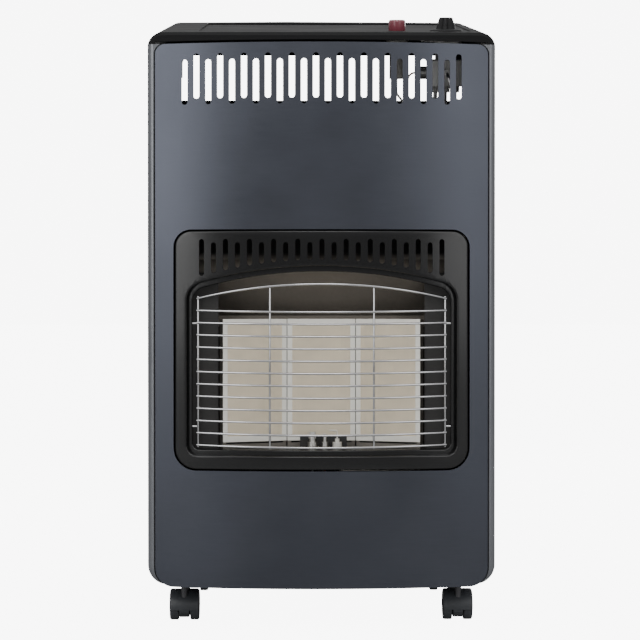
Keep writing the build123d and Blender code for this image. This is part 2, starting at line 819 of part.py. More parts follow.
def window_bezel():
    """The pressed surround of the window, with vents and a stepped, arched mouth."""
    outline = window_outline(bezel_gap)
    inner = window_outline(bezel_gap + bezel_wall)
    mouth = mouth_outline()
    step = mouth_outline(mouth_step_width)
    throat = mouth_outline(mouth_step_width - bezel_wall)
    face = front_prism(outline) & bow_layer(0, bezel_wall)
    rim = front_prism(outline - inner) & bow_layer(0, window_rim_depth + bezel_wall)
    flanges = bezel_flanges() & bow_layer(window_rim_depth, window_rim_depth + bezel_wall)
    cheek = front_prism(mouth_outline(-bezel_wall) - mouth) & bow_layer(0, mouth_step_depth + bezel_wall)
    ledge = front_prism(mouth_outline(-bezel_wall) - step)
    ledge &= bow_layer(mouth_step_depth, mouth_step_depth + bezel_wall)
    tunnel = front_prism(throat - step) & bow_layer(mouth_step_depth, mouth_depth)
    vents = slot_row(vent_count, vent_pitch, vent_width, vent_ends)
    plate = face - front_prism(mouth) - [front_prism(v) for v in vents]
    bezel = plate + rim + flanges + cheek + ledge + tunnel
    reach = mouth_half
    for z in guard_lug_z:
        hole = Pos(guard_lug_y(), z) * RegularPolygon(wire / 2 + guard_lug_clearance, wire_sides)
        bezel -= side_prism(hole, -reach, -reach + 2 * mouth_step_width)
        bezel -= side_prism(hole, reach - 2 * mouth_step_width, reach)
    return bezel


# ---------------------------------------------------------------- guard
def guard_y(x):
    """Y of the guard bars' centres at x."""
    radius = (guard_half**2 + guard_sagitta**2) / (2 * guard_sagitta)
    apex = front_y + wire / 2
    return apex + radius - sqrt(radius**2 - x**2)


def guard_weld_pitch():
    """How far apart the centres of two welded wires lie."""
    return wire * cos(radians(180 / wire_sides)) - guard_weld


def guard_lug_y():
    """Y of the lugs, which are welded behind the end uprights."""
    return guard_y(guard_half - wire / 2) + 2 * guard_weld_pitch()


def bowed_bar(end_z, rise):
    """A bar from one side of the guard to the other, bowed forward and a little up or down."""
    points = []
    for i in range(guard_runs + 1):
        share = 2 * i / guard_runs - 1
        points.append((guard_half * share, guard_y(guard_half * share), end_z + rise * (1 - share**2)))
    path = Polyline(*points)
    section = Plane(origin=path @ 0, x_dir=(0, 0, 1), z_dir=path % 0) * RegularPolygon(wire / 2, wire_sides)
    return sweep(section, path=path, transition=Transition.RIGHT)


def straight_bar(start, end):
    """A straight bar of guard wire."""
    run = Vector(*end) - Vector(*start)
    section = Plane(origin=start, z_dir=run) * RegularPolygon(wire / 2, wire_sides)
    return extrude(section, amount=run.length)


def wire_guard():
    """The welded guard: bowed bars, an arched bar, four uprights and the lugs that hook into the bezel."""
    bars = [bowed_bar(guard_low_z + i * guard_bar_pitch, -guard_droop) for i in range(guard_bar_count)]
    bars.append(bowed_bar(guard_arch_end_z, guard_arch_rise))
    behind = guard_weld_pitch()
    foot = guard_low_z - guard_droop - wire
    for side in (-1, 1):
        x = side * (guard_half - wire / 2)
        y = guard_y(x) + behind
        bars.append(straight_bar((x, y, foot + guard_droop), (x, y, guard_arch_end_z + wire)))
        x = side * guard_upright_x
        y = guard_y(guard_upright_x) + behind
        head = guard_arch_end_z + guard_arch_rise * (1 - (guard_upright_x / guard_half) ** 2)
        bars.append(straight_bar((x, y, foot), (x, y, head + wire / 2)))
        start = side * (guard_half - wire)
        for z in guard_lug_z:
            lug = (start, guard_lug_y(), z)
            bars.append(straight_bar(lug, (start + side * guard_lug_length, guard_lug_y(), z)))
    guard = bars[0]
    return guard.fuse(*bars[1:])


# ---------------------------------------------------------------- burners
def casing():
    """A pressed burner casing, front at y=0 and foot at z=0, with its venturi below."""
    front = Pos(0, casing_height / 2) * Rectangle(casing_width, casing_height)
    back = Pos(0, casing_height / 2)
    back = back * Rectangle(casing_width - 2 * casing_back_taper, casing_height - 2 * casing_back_taper)
    seat = frame_thickness + plaque_thickness
    body = front_prism(front, from_y=frame_thickness, to_y=seat)
    pan = loft([Plane.XZ.offset(-seat) * front, Plane.XZ.offset(-casing_depth) * back], ruled=True)
    pocket = Pos(0, casing_height / 2)
    pocket = pocket * Rectangle(plaque_width + 2 * plaque_clearance, plaque_height + 2 * plaque_clearance)
    chamber_front = offset(pocket, amount=-4)
    chamber_back = offset(back, amount=-casing_wall - 2)
    chamber = [Plane.XZ.offset(-seat) * chamber_front]
    chamber.append(Plane.XZ.offset(casing_wall - casing_depth) * chamber_back)
    case = body + pan - front_prism(pocket, from_y=-1, to_y=seat) - loft(chamber, ruled=True)
    return case + Pos(0, casing_depth / 2, 0) * venturi()


def venturi():
    """The mixing tube under a casing."""
    tube = few_sided(venturi_radius, -venturi_length, 0)
    return tube - few_sided(venturi_radius - venturi_wall, -venturi_length, -venturi_wall)


def plaque():
    """A ceramic plaque, seated in its casing."""
    z = casing_height / 2
    return block(
        (-plaque_width / 2, plaque_width / 2),
        (frame_thickness, frame_thickness + plaque_thickness),
        (z - plaque_height / 2, z + plaque_height / 2),
    )


def plaque_frame():
    """The bright frame that holds a plaque in its casing."""
    outer = Pos(0, casing_height / 2) * Rectangle(casing_width, casing_height)
    width = plaque_width - 2 * frame_lap
    height = plaque_height - 2 * frame_lap
    opening = Pos(0, casing_height / 2) * Rectangle(width, height)
    return front_prism(outer - opening, from_y=0, to_y=frame_thickness)


def burner_places():
    """Where the three casings stand, by name."""
    turn = radians(burner_turn)
    reach = casing_width / 2
    x = reach + casing_joint + reach * cos(turn)
    y = burner_y - reach * sin(turn)
    return {
        "left": Pos(-x, y, shelf_high_z) * Rot(0, 0, burner_turn),
        "middle": Pos(0, burner_y, shelf_high_z),
        "right": Pos(x, y, shelf_high_z) * Rot(0, 0, -burner_turn),
    }


def venturi_places():
    """Plan places of the three venturis, by burner."""
    places = {}
    for name, place in burner_places().items():
        point = (place * Pos(0, casing_depth / 2, 0)).position
        places[name] = (point.X, point.Y)
    return places


def burner_shelf():
    """The shelf that the casings stand on, flanged to the divider."""
    half = shelf_half
    front = divider_y - shelf_depth
    shelf = block((-half, half), (front, divider_y), (shelf_low_z, shelf_high_z))
    flange_z = (shelf_high_z - shelf_flange, shelf_high_z)
    shelf += block((-half, half), (front - sheet, front), flange_z)
    shelf += block((-half, half), (divider_y - sheet, divider_y), flange_z)
    for x, y in venturi_places().values():
        hole = few_sided(venturi_radius + venturi_clearance, shelf_low_z - 1, shelf_high_z + 1)
        shelf -= Pos(x, y, 0) * hole
    reach = pilot_radius + pilot_hole_clearance
    hole_x = (pilot_x - reach, electrode_x + electrode_radius + pilot_hole_clearance)
    return shelf - block(hole_x, (pilot_y - reach, pilot_y + reach), (shelf_low_z - 1, shelf_high_z + 1))


def deflector_under_z(y):
    """Height of the deflector's underside at y."""
    run = (divider_y - sheet - y) / (divider_y - sheet - deflector_front_y)
    return deflector_low_z + run * (deflector_high_z - deflector_low_z)


def side_shield():
    """The right-hand heat shield: a face beside the burner and a wall back to the divider."""
    turn = radians(burner_turn)
    end_x = casing_width / 2 + casing_joint + casing_width * cos(turn)
    end_y = burner_y - casing_width * sin(turn)
    near_x = end_x + (shield_front_y + sheet - end_y) * tan(turn) + shield_gap
    far_x = shelf_half
    high_z = deflector_under_z(shield_front_y + sheet) - shield_head_gap
    face = block((near_x, far_x), (shield_front_y, shield_front_y + sheet), (shelf_high_z, high_z))
    outline = Polyline(
        (shield_front_y, shelf_high_z),
        (divider_y, shelf_high_z),
        (divider_y, deflector_under_z(divider_y) - shield_head_gap),
        (shield_front_y + sheet, high_z),
        (shield_front_y, high_z),
        close=True,
    )
    return face + side_prism(make_face(outline), far_x - sheet, far_x)


def heat_deflector():
    """The sloping plate over the plaques, with a tab on the divider and a lip at the front."""
    back = divider_y - sheet
    outline = Polyline(
        (divider_y, deflector_low_z - deflector_tab),
        (divider_y, deflector_low_z + 1),
        (deflector_front_y + sheet, deflector_high_z + 1),
        (deflector_front_y + sheet, deflector_high_z + deflector_lip),
        (deflector_front_y, deflector_high_z + deflector_lip),
        (deflector_front_y, deflector_high_z),
        (back, deflector_low_z),
        (back, deflector_low_z - deflector_tab),
        close=True,
    )
    half = shelf_half - sheet - nest_clearance
    return side_prism(make_face(outline), -half, half)


def venturi_mouth_z():
    """Height of the venturis' mouths."""
    return shelf_high_z - venturi_length


def injector_seat_z():
    """Top of the injector bracket."""
    return venturi_mouth_z() - injector_gap - injector_shoulder - injector_hex_height


def injector_bracket():
    """The shelf that holds the injectors under the venturis."""
    half = shelf_half - injector_bracket_inset
    high = injector_seat_z()
    bracket = block((-half, half), (divider_y - injector_bracket_depth, divider_y), (high - sheet, high))
    bracket += block((-half, half), (divider_y - sheet, divider_y), (high - injector_bracket_flange, high))
    for x, y in venturi_places().values():
        bracket -= Pos(x, y, 0) * few_sided(injector_radius + nest_clearance, high - sheet - 1, high + 1)
    return bracket


def injector():
    """A brass injector: tail, hexagon on the bracket, shoulder and jet, seat at z=0."""
    tail = few_sided(injector_radius, -injector_tail, 0)
    nut = extrude(hexagon(injector_hex), amount=injector_hex_height)
    tip = few_sided(injector_tip_radius, injector_hex_height, injector_hex_height + injector_shoulder)
    return tail + nut + tip


# ---------------------------------------------------------------- pilot group
def pilot_pieces():
    """Place along X and radius of the pilot burner, the probe and the electrode."""
    return ((pilot_x, pilot_radius), (probe_x, probe_radius), (electrode_x, electrode_radius))


def pilot_bracket():
    """A bent strip on the shelf whose notches hold the pilot group."""
    reach = (pilot_bracket_left_x, pilot_bracket_right_x)
    front = pilot_y - pilot_bracket_depth / 2
    back = pilot_y + pilot_bracket_depth / 2
    bracket = block(reach, (front, back), (shelf_high_z, shelf_high_z + sheet))
    bracket += block(reach, (back - sheet, back), (shelf_high_z, shelf_high_z + pilot_bracket_height))
    for x, radius in pilot_pieces():
        half = radius + pilot_hole_clearance
        notch_z = (shelf_low_z, shelf_high_z + 2 * sheet)
        bracket -= block((x - half, x + half), (front - 1, pilot_y + half), notch_z)
    return bracket


def upright_rod(x, radius, low, high):
    """A round upright piece of the pilot group."""
    return Pos(x, pilot_y, 0) * few_sided(radius, low, high)


def pilot_collar(x, width=collar_width):
    """The hexagon by which a piece of the pilot group sits on its bracket."""
    return Pos(x, pilot_y, shelf_high_z + sheet) * extrude(hexagon(width), amount=collar_height)


def pilot_burner():
    """The pilot burner: tube, collar and a hooded head that opens towards the plaque."""
    head_low_z = pilot_group_high_z - pilot_head_height
    body = upright_rod(pilot_x, pilot_radius, pilot_group_low_z, head_low_z + 1) + pilot_collar(pilot_x)
    head = upright_rod(pilot_x, pilot_radius + 1, head_low_z, pilot_group_high_z)
    half = pilot_radius - 1
    mouth_x = (pilot_x - half, pilot_x + half)
    mouth_z = (head_low_z + pilot_mouth_height / 2, pilot_group_high_z - pilot_mouth_height / 2)
    return body + head - block(mouth_x, (pilot_y, pilot_y + 2 * pilot_radius), mouth_z)


def spark_electrode():
    """The electrode: a ceramic sleeve with its collar and a bent wire over the pilot's mouth."""
    sleeve_z = pilot_group_high_z - electrode_bare
    high = pilot_group_high_z + electrode_wire
    sleeve = upright_rod(electrode_x, electrode_radius, pilot_group_low_z, sleeve_z)
    points = (
        (electrode_x, pilot_y, sleeve_z - 1),
        (electrode_x, pilot_y, high),
        (electrode_x - electrode_reach, pilot_y, high),
    )
    return sleeve + pilot_collar(electrode_x) + tube_along(points, [electrode_bend], electrode_wire)


def thermocouple_probe():
    """The thermocouple: a slim rod and its collar."""
    rod = upright_rod(probe_x, probe_radius, pilot_group_low_z, pilot_group_high_z - 2)
    return rod + pilot_collar(probe_x, 3.2 * probe_radius)


# ---------------------------------------------------------------- controls
def spindle_section(grow=0.0):
    """The spindle's section with its flat; a many-sided outline stands for the round one."""
    radius = spindle_radius + grow
    flat = spindle_flat + grow
    return RegularPolygon(radius, few_sides) & Pos(0, flat - 2 * radius) * Rectangle(4 * radius, 4 * radius)


def bracket_top():
    """Height of the valve bracket's upper face over the control plane."""
    return -knob_well_depth() - well_wall - bracket_under_well


def rotor_top():
    """Height of the rotor's head over the control plane."""
    return bracket_top() + rotor_rise


def knob_grip_outline():
    """The fluted outline of the foot of the knob's grip."""
    points = []
    for i in range(2 * knob_flutes):
        turn = radians(i * 180 / knob_flutes)
        reach = knob_foot_radius if i % 2 else knob_flute_radius
        points.append((reach * cos(turn), reach * sin(turn)))
    return make_face(Polyline(*points, close=True))


def control_knob():
    """The knob: a skirt and a fluted grip that narrows to its top."""
    plane = control_plane(knob_x)
    skirt_top = knob_rest_gap + knob_skirt_height
    skirt = stud(plane, knob_skirt_radius, knob_rest_gap, skirt_top, knob_sides)
    height = knob_height - skirt_top
    slope = degrees(atan((knob_foot_radius - knob_grip_radius) / height))
    grip = extrude(plane.offset(skirt_top) * knob_grip_outline(), amount=height, taper=slope)
    hole = extrude(plane * spindle_section(), amount=spindle_in_knob + knob_rest_gap)
    return skirt + grip - hole


def valve_spindle():
    """The flatted spindle that the knob is pressed on, and that slides in the rotor."""
    plane = control_plane(knob_x)
    low = rotor_top() - spindle_in_rotor
    high = knob_rest_gap + spindle_in_knob
    return extrude(plane.offset(low) * spindle_section(), amount=high - low)


def valve_rotor():
    """The rotor in the valve's neck, with the keyed hole that the spindle slides in."""
    plane = control_plane(knob_x)
    rotor = stud(plane, rotor_radius, rotor_top() - rotor_length, rotor_top())
    depth = spindle_in_rotor + knob_travel + well_spare
    bore = plane.offset(rotor_top() - depth) * spindle_section(spindle_clearance)
    return rotor - extrude(bore, amount=depth + 1)


def valve_levels():
    """Heights over the control plane of the valve's flange, neck and block, from the top down."""
    flange_top = bracket_top() - bracket_thickness
    neck_top = flange_top - valve_flange_thickness
    block_top = neck_top - valve_neck_length
    return flange_top, neck_top, block_top, block_top - valve_block_height


def gas_valve_body():
    """The cast valve: flange, neck, block, magnet housing, and outlet, pilot and inlet bosses."""
    plane = control_plane(knob_x)
    flange_top, neck_top, block_top, block_low = valve_levels()
    square = chamfer(Rectangle(valve_flange, valve_flange).vertices(), valve_flange / 8)
    body = extrude(plane.offset(neck_top) * square, amount=valve_flange_thickness)
    body += stud(plane, valve_neck_radius, block_top, neck_top, well_sides)
    core = Rectangle(valve_block_width, valve_block_depth)
    body += extrude(plane.offset(block_low) * core, amount=valve_block_height)
    middle = (block_top + block_low) / 2
    side = Plane(origin=plane.from_local_coords((-valve_block_width / 2, 0, middle)), z_dir=-plane.x_dir)
    body += extrude(side * RegularPolygon(magnet_radius, few_sides), amount=magnet_length)
    ports = plane.offset(block_low - port_length)
    for i in (-1, 0, 1):
        body += extrude(ports * Pos(i * port_pitch, 0) * hexagon(port_width), amount=port_length)
    front = Plane(origin=plane.from_local_coords((0, -valve_block_depth / 2, middle)), z_dir=-plane.y_dir)
    body += extrude(front * hexagon(port_width), amount=port_length)
    bore_low = rotor_top() - rotor_length - rotor_end_gap
    return body - stud(plane, rotor_radius + rotor_clearance, bore_low, flange_top + 1)


def inlet_hose_tail():
    """The inlet: a hexagon on the back of the valve and a plain tail for the gas hose."""
    plane = control_plane(knob_x)
    _, _, block_top, block_low = valve_levels()
    middle = (block_top + block_low) / 2
    back = Plane(origin=plane.from_local_coords((0, valve_block_depth / 2, middle)), z_dir=plane.y_dir)
    tail = extrude(back * hexagon(tail_hex), amount=tail_hex_length)
    rod = extrude(back.offset(tail_hex_length) * Circle(tail_radius), amount=tail_length)
    bore = back.offset(tail_bore_floor) * RegularPolygon(tail_bore_radius, few_sides)
    return tail + rod - extrude(bore, amount=tail_hex_length + tail_length)


def valve_bracket():
    """The bent strip that carries the valve, with its foot on the right side panel's top flange."""
    plane = control_plane(knob_x)
    top = bracket_top()
    end_x = half_width - bracket_inset
    right = end_x - knob_x
    middle_v = (bracket_back - bracket_front) / 2
    depth = bracket_back + bracket_front
    plate = Pos((right - bracket_left) / 2, middle_v) * Rectangle(right + bracket_left, depth)
    bracket = extrude(plane.offset(top - bracket_thickness) * plate, amount=bracket_thickness)
    reach = (control_y - bracket_front, control_y + bracket_back)
    leg = block((end_x - bracket_thickness, end_x), reach, (side_high_z, rear_height))
    foot_x = (end_x - bracket_thickness, end_x + bracket_foot)
    foot = block(foot_x, reach, (side_high_z, side_high_z + bracket_thickness))
    above = plane.offset(top - bracket_thickness / 2) * Rectangle(cabinet_width, cabinet_depth)
    bracket += (leg + foot) - extrude(above, amount=rear_height)
    return bracket - stud(plane, rotor_radius + 1, top - 2 * bracket_thickness, top + 1)


def igniter_floor():
    """Height of the igniter's flange underside over the control plane."""
    return -button_well_depth()


def stem_square(grow=0.0):
    """The square section of the button's stem, or of its bore."""
    return Rectangle(button_stem_width + 2 * grow, button_stem_width + 2 * grow)


def igniter_body():
    """The piezo igniter's barrel, hung from the cover by its flange and nut."""
    plane = control_plane(button_x)
    floor = igniter_floor()
    body = stud(plane, igniter_flange_radius, floor, floor + igniter_flange, few_sides)
    body += stud(plane, igniter_radius, floor - igniter_length, floor, few_sides)
    deepest = button_rest_gap - button_stem_length - button_travel - well_spare
    bore = plane.offset(deepest) * stem_square(slide_clearance)
    return body - extrude(bore, amount=floor + igniter_flange + 1 - deepest)


def igniter_nut():
    """The nut under the cover that holds the igniter."""
    plane = control_plane(button_x)
    top = igniter_floor() - well_wall
    nut = extrude(plane.offset(top - nut_height) * hexagon(nut_hex), amount=nut_height)
    return nut - stud(plane, igniter_radius, top - nut_height - 1, top + 1, few_sides)


def ignition_button():
    """The red button with its stem in the igniter's barrel."""
    plane = control_plane(button_x)
    cap = stud(plane, button_radius, button_rest_gap, button_height, well_sides)
    low = button_rest_gap - button_stem_length
    return cap + extrude(plane.offset(low) * stem_square(), amount=button_stem_length)


# ---------------------------------------------------------------- pipes and leads
def valve_port(u, v, height):
    """A point of the valve's own frame, in the cabinet's frame."""
    return control_plane(knob_x).from_local_coords((u, v, height))


def gas_pipe(port, burner):
    """A stage pipe: from a valve outlet down the right-hand side and under its burner to its injector."""
    _, _, _, block_low = valve_levels()
    low = block_low - port_length
    u = port * port_pitch
    x, y = venturi_places()[burner]
    lane_x = half_width - gas_lane_inset - (1 - port) * gas_lane_pitch
    injector_low_z = injector_seat_z() - injector_tail
    run_z = injector_low_z - gas_run_drop - (1 + port) * gas_run_pitch
    points = [
        valve_port(u, 0, low),
        valve_port(u, 0, low - pipe_drop),
        (lane_x, gas_lane_y, pipe_shoulder_z),
        (lane_x, gas_lane_y, run_z),
        (x, y, run_z),
        (x, y, injector_low_z),
    ]
    return tube_along(points, [pipe_bend] * 4, gas_pipe_diameter)


def pilot_run(start, lane, x, diameter):
    """A lead or pipe of the pilot group: down the right-hand side in its lane, under the shelf and up."""
    lane_x = half_width - lead_lane_inset[lane]
    run_z = shelf_high_z - lead_run_drop[lane]
    points = list(start) + [
        (lane_x, pilot_y, pipe_shoulder_z - lead_shoulder_drop),
        (lane_x, pilot_y, run_z),
        (x, pilot_y, run_z),
        (x, pilot_y, pilot_group_low_z),
    ]
    return tube_along(points, [lead_bend] * (len(points) - 2), diameter)


def pilot_pipe():
    """The pilot's own pipe, from the boss on the valve's front."""
    _, _, block_top, block_low = valve_levels()
    middle = (block_top + block_low) / 2
    reach = -valve_block_depth / 2 - port_length
    start = [valve_port(0, reach, middle), valve_port(0, reach - lead_start, middle)]
    return pilot_run(start, 0, pilot_x, pilot_pipe_diameter)


def thermocouple_lead():
    """The thermocouple's lead, from the magnet housing."""
    _, _, block_top, block_low = valve_levels()
    middle = (block_top + block_low) / 2
    reach = -valve_block_width / 2 - magnet_length
    port = valve_port(reach, 0, middle)
    start = [port, port - (lead_start, 0, 0), port - (lead_start, 0, probe_lead_drop)]
    return pilot_run(start, 1, probe_x, probe_lead_diameter)


def ignition_cable():
    """The cable from the foot of the igniter to the electrode."""
    plane = control_plane(button_x)
    foot = igniter_floor() - igniter_length
    start = [plane.from_local_coords((0, 0, foot)), plane.from_local_coords((0, 0, foot - cable_start))]
    return pilot_run(start, 2, electrode_x, ignition_cable_diameter)


# ---------------------------------------------------------------- casters
def caster_places():
    """Plan places of the four caster stems."""
    return [(x, y) for y in (-caster_y, caster_y) for x in (-caster_x, caster_x)]


def caster_stem():
    """A stem and the hexagon by which it is fixed under the base, on the axis x=y=0."""
    pin = Pos(0, 0, stem_low_z) * extrude(Circle(stem_radius), amount=base_low_z - stem_low_z)
    collar = extrude(hexagon(stem_collar_width), amount=stem_collar_height)
    return pin + Pos(0, 0, base_low_z - stem_collar_height) * collar


def caster_hood():
    """The hood over a pair of wheels and the web that holds axle and stem, stem axis x=y=0."""
    outer = wheel_radius + hood_gap + hood_wall
    centre = Pos(caster_trail, wheel_radius)
    rounded = RegularPolygon(outer, hood_sides)
    high = Pos(caster_trail, (hood_low_z + hood_high_z) / 2) * Rectangle(3 * outer, hood_high_z - hood_low_z)
    arch = centre * (rounded - RegularPolygon(outer - hood_wall, hood_sides)) & high
    web_reach = caster_trail + web_beyond_axle
    web = Pos((web_reach - outer) / 2, (web_low_z + hood_high_z) / 2)
    web = centre * rounded & web * Rectangle(web_reach + outer, hood_high_z - web_low_z)
    half = wheel_inner_x + wheel_width
    hood = side_prism(arch, -half, half) + side_prism(web, -hood_web, hood_web)
    bore = extrude(flatted_bore(stem_radius + stem_clearance), amount=hood_high_z)
    axle_bore = centre * flatted_bore(axle_radius + axle_clearance)
    return hood - Pos(0, 0, stem_low_z - stem_end_gap) * bore - side_prism(axle_bore, -half, half)


def caster_wheels():
    """A pair of wheels on their axle, at the caster's trail behind x=y=0."""
    centre = Pos(caster_trail, wheel_radius)
    wheels = side_prism(centre * Circle(axle_radius), -wheel_inner_x - 1, wheel_inner_x + 1)
    for side in (-1, 1):
        reach = sorted((side * wheel_inner_x, side * (wheel_inner_x + wheel_width)))
        wheels += side_prism(centre * RegularPolygon(wheel_radius, wheel_sides), *reach)
    return wheels


# ---------------------------------------------------------------- everything, by node
def build_nodes():
    """Every piece of the heater, by the name of its node."""
    right_side = right_side_panel()
    right_shield = side_shield()
    nodes = {
        "front_panel": front_panel(),
        "left_side_panel": mirror(right_side, about=Plane.YZ),
        "right_side_panel": right_side,
        "top_cover": top_cover(),
        "base_tray": base_tray(),
        "divider_panel": divider_panel(),
        "rear_rail": rear_rail(),
        "rear_cover": rear_cover(),
        "rear_cover_pins": pivot_pins(),
        "rear_cover_catches": cover_catches(),
        "window_bezel": window_bezel(),
        "wire_guard": wire_guard(),
        "burner_shelf": burner_shelf(),
        "left_side_shield": mirror(right_shield, about=Plane.YZ),
        "right_side_shield": right_shield,
        "heat_deflector": heat_deflector(),
        "injector_bracket": injector_bracket(),
        "pilot_bracket": pilot_bracket(),
        "pilot_burner": pilot_burner(),
        "spark_electrode": spark_electrode(),
        "thermocouple_probe": thermocouple_probe(),
        "control_knob": control_knob(),
        "valve_spindle": valve_spindle(),
        "valve_rotor": valve_rotor(),
        "gas_valve_body": gas_valve_body(),
        "inlet_hose_tail": inlet_hose_tail(),
        "valve_bracket": valve_bracket(),
        "igniter_body": igniter_body(),
        "igniter_nut": igniter_nut(),
        "ignition_button": ignition_button(),
        "left_gas_pipe": gas_pipe(1, "left"),
        "middle_gas_pipe": gas_pipe(0, "middle"),
        "right_gas_pipe": gas_pipe(-1, "right"),
        "pilot_pipe": pilot_pipe(),
        "thermocouple_lead": thermocouple_lead(),
        "ignition_cable": ignition_cable(),
        "caster_stems": [Pos(x, y, 0) * caster_stem() for x, y in caster_places()],
    }
    for name, place in burner_places().items():
        nodes[f"{name}_burner_casing"] = place * casing()
        nodes[f"{name}_plaque"] = place * plaque()
        nodes[f"{name}_plaque_frame"] = place * plaque_frame()
    seat = injector_seat_z()
    nodes["gas_injectors"] = [Pos(x, y, seat) * injector() for x, y in venturi_places().values()]
    names = ("front_left", "front_right", "rear_left", "rear_right")
    for name, (x, y) in zip(names, caster_places()):
        place = Pos(x, y, 0)
        nodes[f"{name}_caster_hood"] = place * caster_hood()
        nodes[f"{name}_caster_wheels"] = place * caster_wheels()
    return nodes


def write_nodes(nodes):
    """Write each node to a STEP file of its own."""
    os.makedirs("parts", exist_ok=True)
    for name, shape in nodes.items():
        pieces = shape if isinstance(shape, list) else [shape]
        solids = [solid for piece in pieces for solid in piece.solids()]
        export_step(Compound(children=solids) if len(solids) > 1 else solids[0], f"parts/{name}.step")


write_nodes(build_nodes())
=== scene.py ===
"""A portable gas cabinet heater, dressed over its CAD frame."""

import json
from math import atan2, ceil, cos, hypot, pi, radians, sin, sqrt
from typing import NamedTuple

import bmesh
import bpy
from bpy.props import FloatProperty, FloatVectorProperty, IntProperty, PointerProperty
from mathutils import Matrix, Vector


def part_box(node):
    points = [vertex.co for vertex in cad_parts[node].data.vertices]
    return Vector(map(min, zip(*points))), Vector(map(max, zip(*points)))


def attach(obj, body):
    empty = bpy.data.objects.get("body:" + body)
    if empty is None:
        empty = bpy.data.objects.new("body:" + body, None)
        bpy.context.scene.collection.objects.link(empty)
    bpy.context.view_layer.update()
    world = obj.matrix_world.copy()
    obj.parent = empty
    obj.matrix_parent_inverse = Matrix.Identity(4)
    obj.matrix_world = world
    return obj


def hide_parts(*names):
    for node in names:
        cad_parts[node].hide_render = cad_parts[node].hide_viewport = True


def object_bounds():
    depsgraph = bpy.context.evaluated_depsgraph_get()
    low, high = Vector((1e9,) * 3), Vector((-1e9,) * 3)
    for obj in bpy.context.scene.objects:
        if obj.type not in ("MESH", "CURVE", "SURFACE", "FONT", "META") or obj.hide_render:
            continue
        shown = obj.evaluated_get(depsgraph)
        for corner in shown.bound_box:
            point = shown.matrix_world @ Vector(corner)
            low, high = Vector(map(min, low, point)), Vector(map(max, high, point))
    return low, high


bl_info = {
    "name": "Gas cabinet heater",
    "version": (1, 0, 0),
    "blender": (4, 5, 0),
    "location": "3D View > Sidebar > Heater",
    "description": "Dresses the CAD frame of a portable gas cabinet heater",
    "category": "Object",
}

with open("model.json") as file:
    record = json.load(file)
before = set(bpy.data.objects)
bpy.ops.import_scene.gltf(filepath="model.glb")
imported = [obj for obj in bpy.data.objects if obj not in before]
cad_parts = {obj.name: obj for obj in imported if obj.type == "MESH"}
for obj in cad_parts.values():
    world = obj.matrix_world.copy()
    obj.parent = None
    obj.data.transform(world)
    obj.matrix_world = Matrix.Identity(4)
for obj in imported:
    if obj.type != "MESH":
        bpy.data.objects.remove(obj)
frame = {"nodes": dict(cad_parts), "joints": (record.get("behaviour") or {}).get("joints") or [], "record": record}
CAD_BOX = [list(corner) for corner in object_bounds()]
MM = 0.001
PALE = 8.0  # how bright the empty studio shows behind the heater
FOOT_GAP = 8 * MM  # how far the plaques' feet stand higher than in the CAD
CORNERS = ("front_left", "front_right", "rear_left", "rear_right")


# ---------------------------------------------------------------- sizes and colours that a user would change
def length(name, default, text):
    """A length in metres, given here in millimetres."""
    return FloatProperty(name=name, default=default * MM, description=text, unit="LENGTH", precision=4)


def colour(name, default, text):
    """A linear colour."""
    return FloatVectorProperty(name=name, default=default, description=text, subtype="COLOR", min=0, max=1)


class HeaterSheets(bpy.types.PropertyGroup):
    """Sizes of the bowed front and its window."""

    bow: length("Bow radius", 750, "Radius of the front, seen from above")
    apex: length("Apex", -194, "Y of the middle of the front")
    panel_width: length("Panel width", 400.8, "Width of the front panel")
    panel_low: length("Panel foot", 49, "Height of the front panel's lower edge")
    panel_high: length("Panel head", 701.5, "Height of the front panel's upper edge")
    window_width: length("Window width", 356, "Width of the window in the front panel")
    window_low: length("Window foot", 189.5, "Height of the window's lower edge")
    window_high: length("Window head", 478.5, "Height of the window's upper edge")
    outlets: IntProperty(name="Outlets", default=24, description="Slots across the head of the front")
    outlet_pitch: length("Outlet pitch", 14.3, "Distance between two outlet slots")
    outlet_width: length("Outlet width", 7, "Width of an outlet slot")
    vents: IntProperty(name="Vents", default=21, description="Slots across the head of the window")
    vent_pitch: length("Vent pitch", 14.4, "Distance between two vent slots")
    vent_width: length("Vent width", 6, "Width of a vent slot")
    mouth_width: length("Mouth width", 324, "Width of the bezel's arched mouth")
    mouth_low: length("Mouth foot", 208, "Height of the mouth's lower edge")
    mouth_high: length("Mouth head", 434.8, "Height of the mouth's arch in the middle")
    mouth_arch: length("Mouth arch", 550, "Radius of the mouth's arch")


class HeaterGuard(bpy.types.PropertyGroup):
    """Sizes of the wire guard."""

    wire: length("Wire", 2.6, "Diameter of the guard's wire")
    width: length("Width", 300, "Length of the bars, seen from the front")
    sagitta: length("Bow", 28, "How far the bars' middles stand out")
    bars: IntProperty(name="Bars", default=12, description="Level bars")
    pitch: length("Pitch", 14.7, "Distance between two level bars")
    low: length("Foot", 220, "Height of the lowest bar's ends")
    droop: length("Droop", 2, "How far the bars' middles hang below their ends")
    arch_end: length("Arch foot", 396, "Height of the arched bar's ends")
    arch_rise: length("Arch rise", 17, "How far the arched bar's middle stands above its ends")
    upright: length("Uprights", 62, "X of the inner uprights")


class HeaterFinishes(bpy.types.PropertyGroup):
    """Colours of the heater."""

    front: colour("Front steel", (0.083, 0.089, 0.108), "Satin steel of the front panel")
    sides: colour("Side paint", (0.200, 0.207, 0.222), "Metallic paint of the sides")
    black: colour("Black plastic", (0.020, 0.020, 0.021), "Moulded top and knob")
    bezel: colour("Bezel paint", (0.0018, 0.0019, 0.0022), "Paint of the window bezel")
    ceramic: colour("Ceramic", (0.90, 0.79, 0.60), "Burner plaques")
    button: colour("Button", (0.215, 0.048, 0.066), "Ignition button")


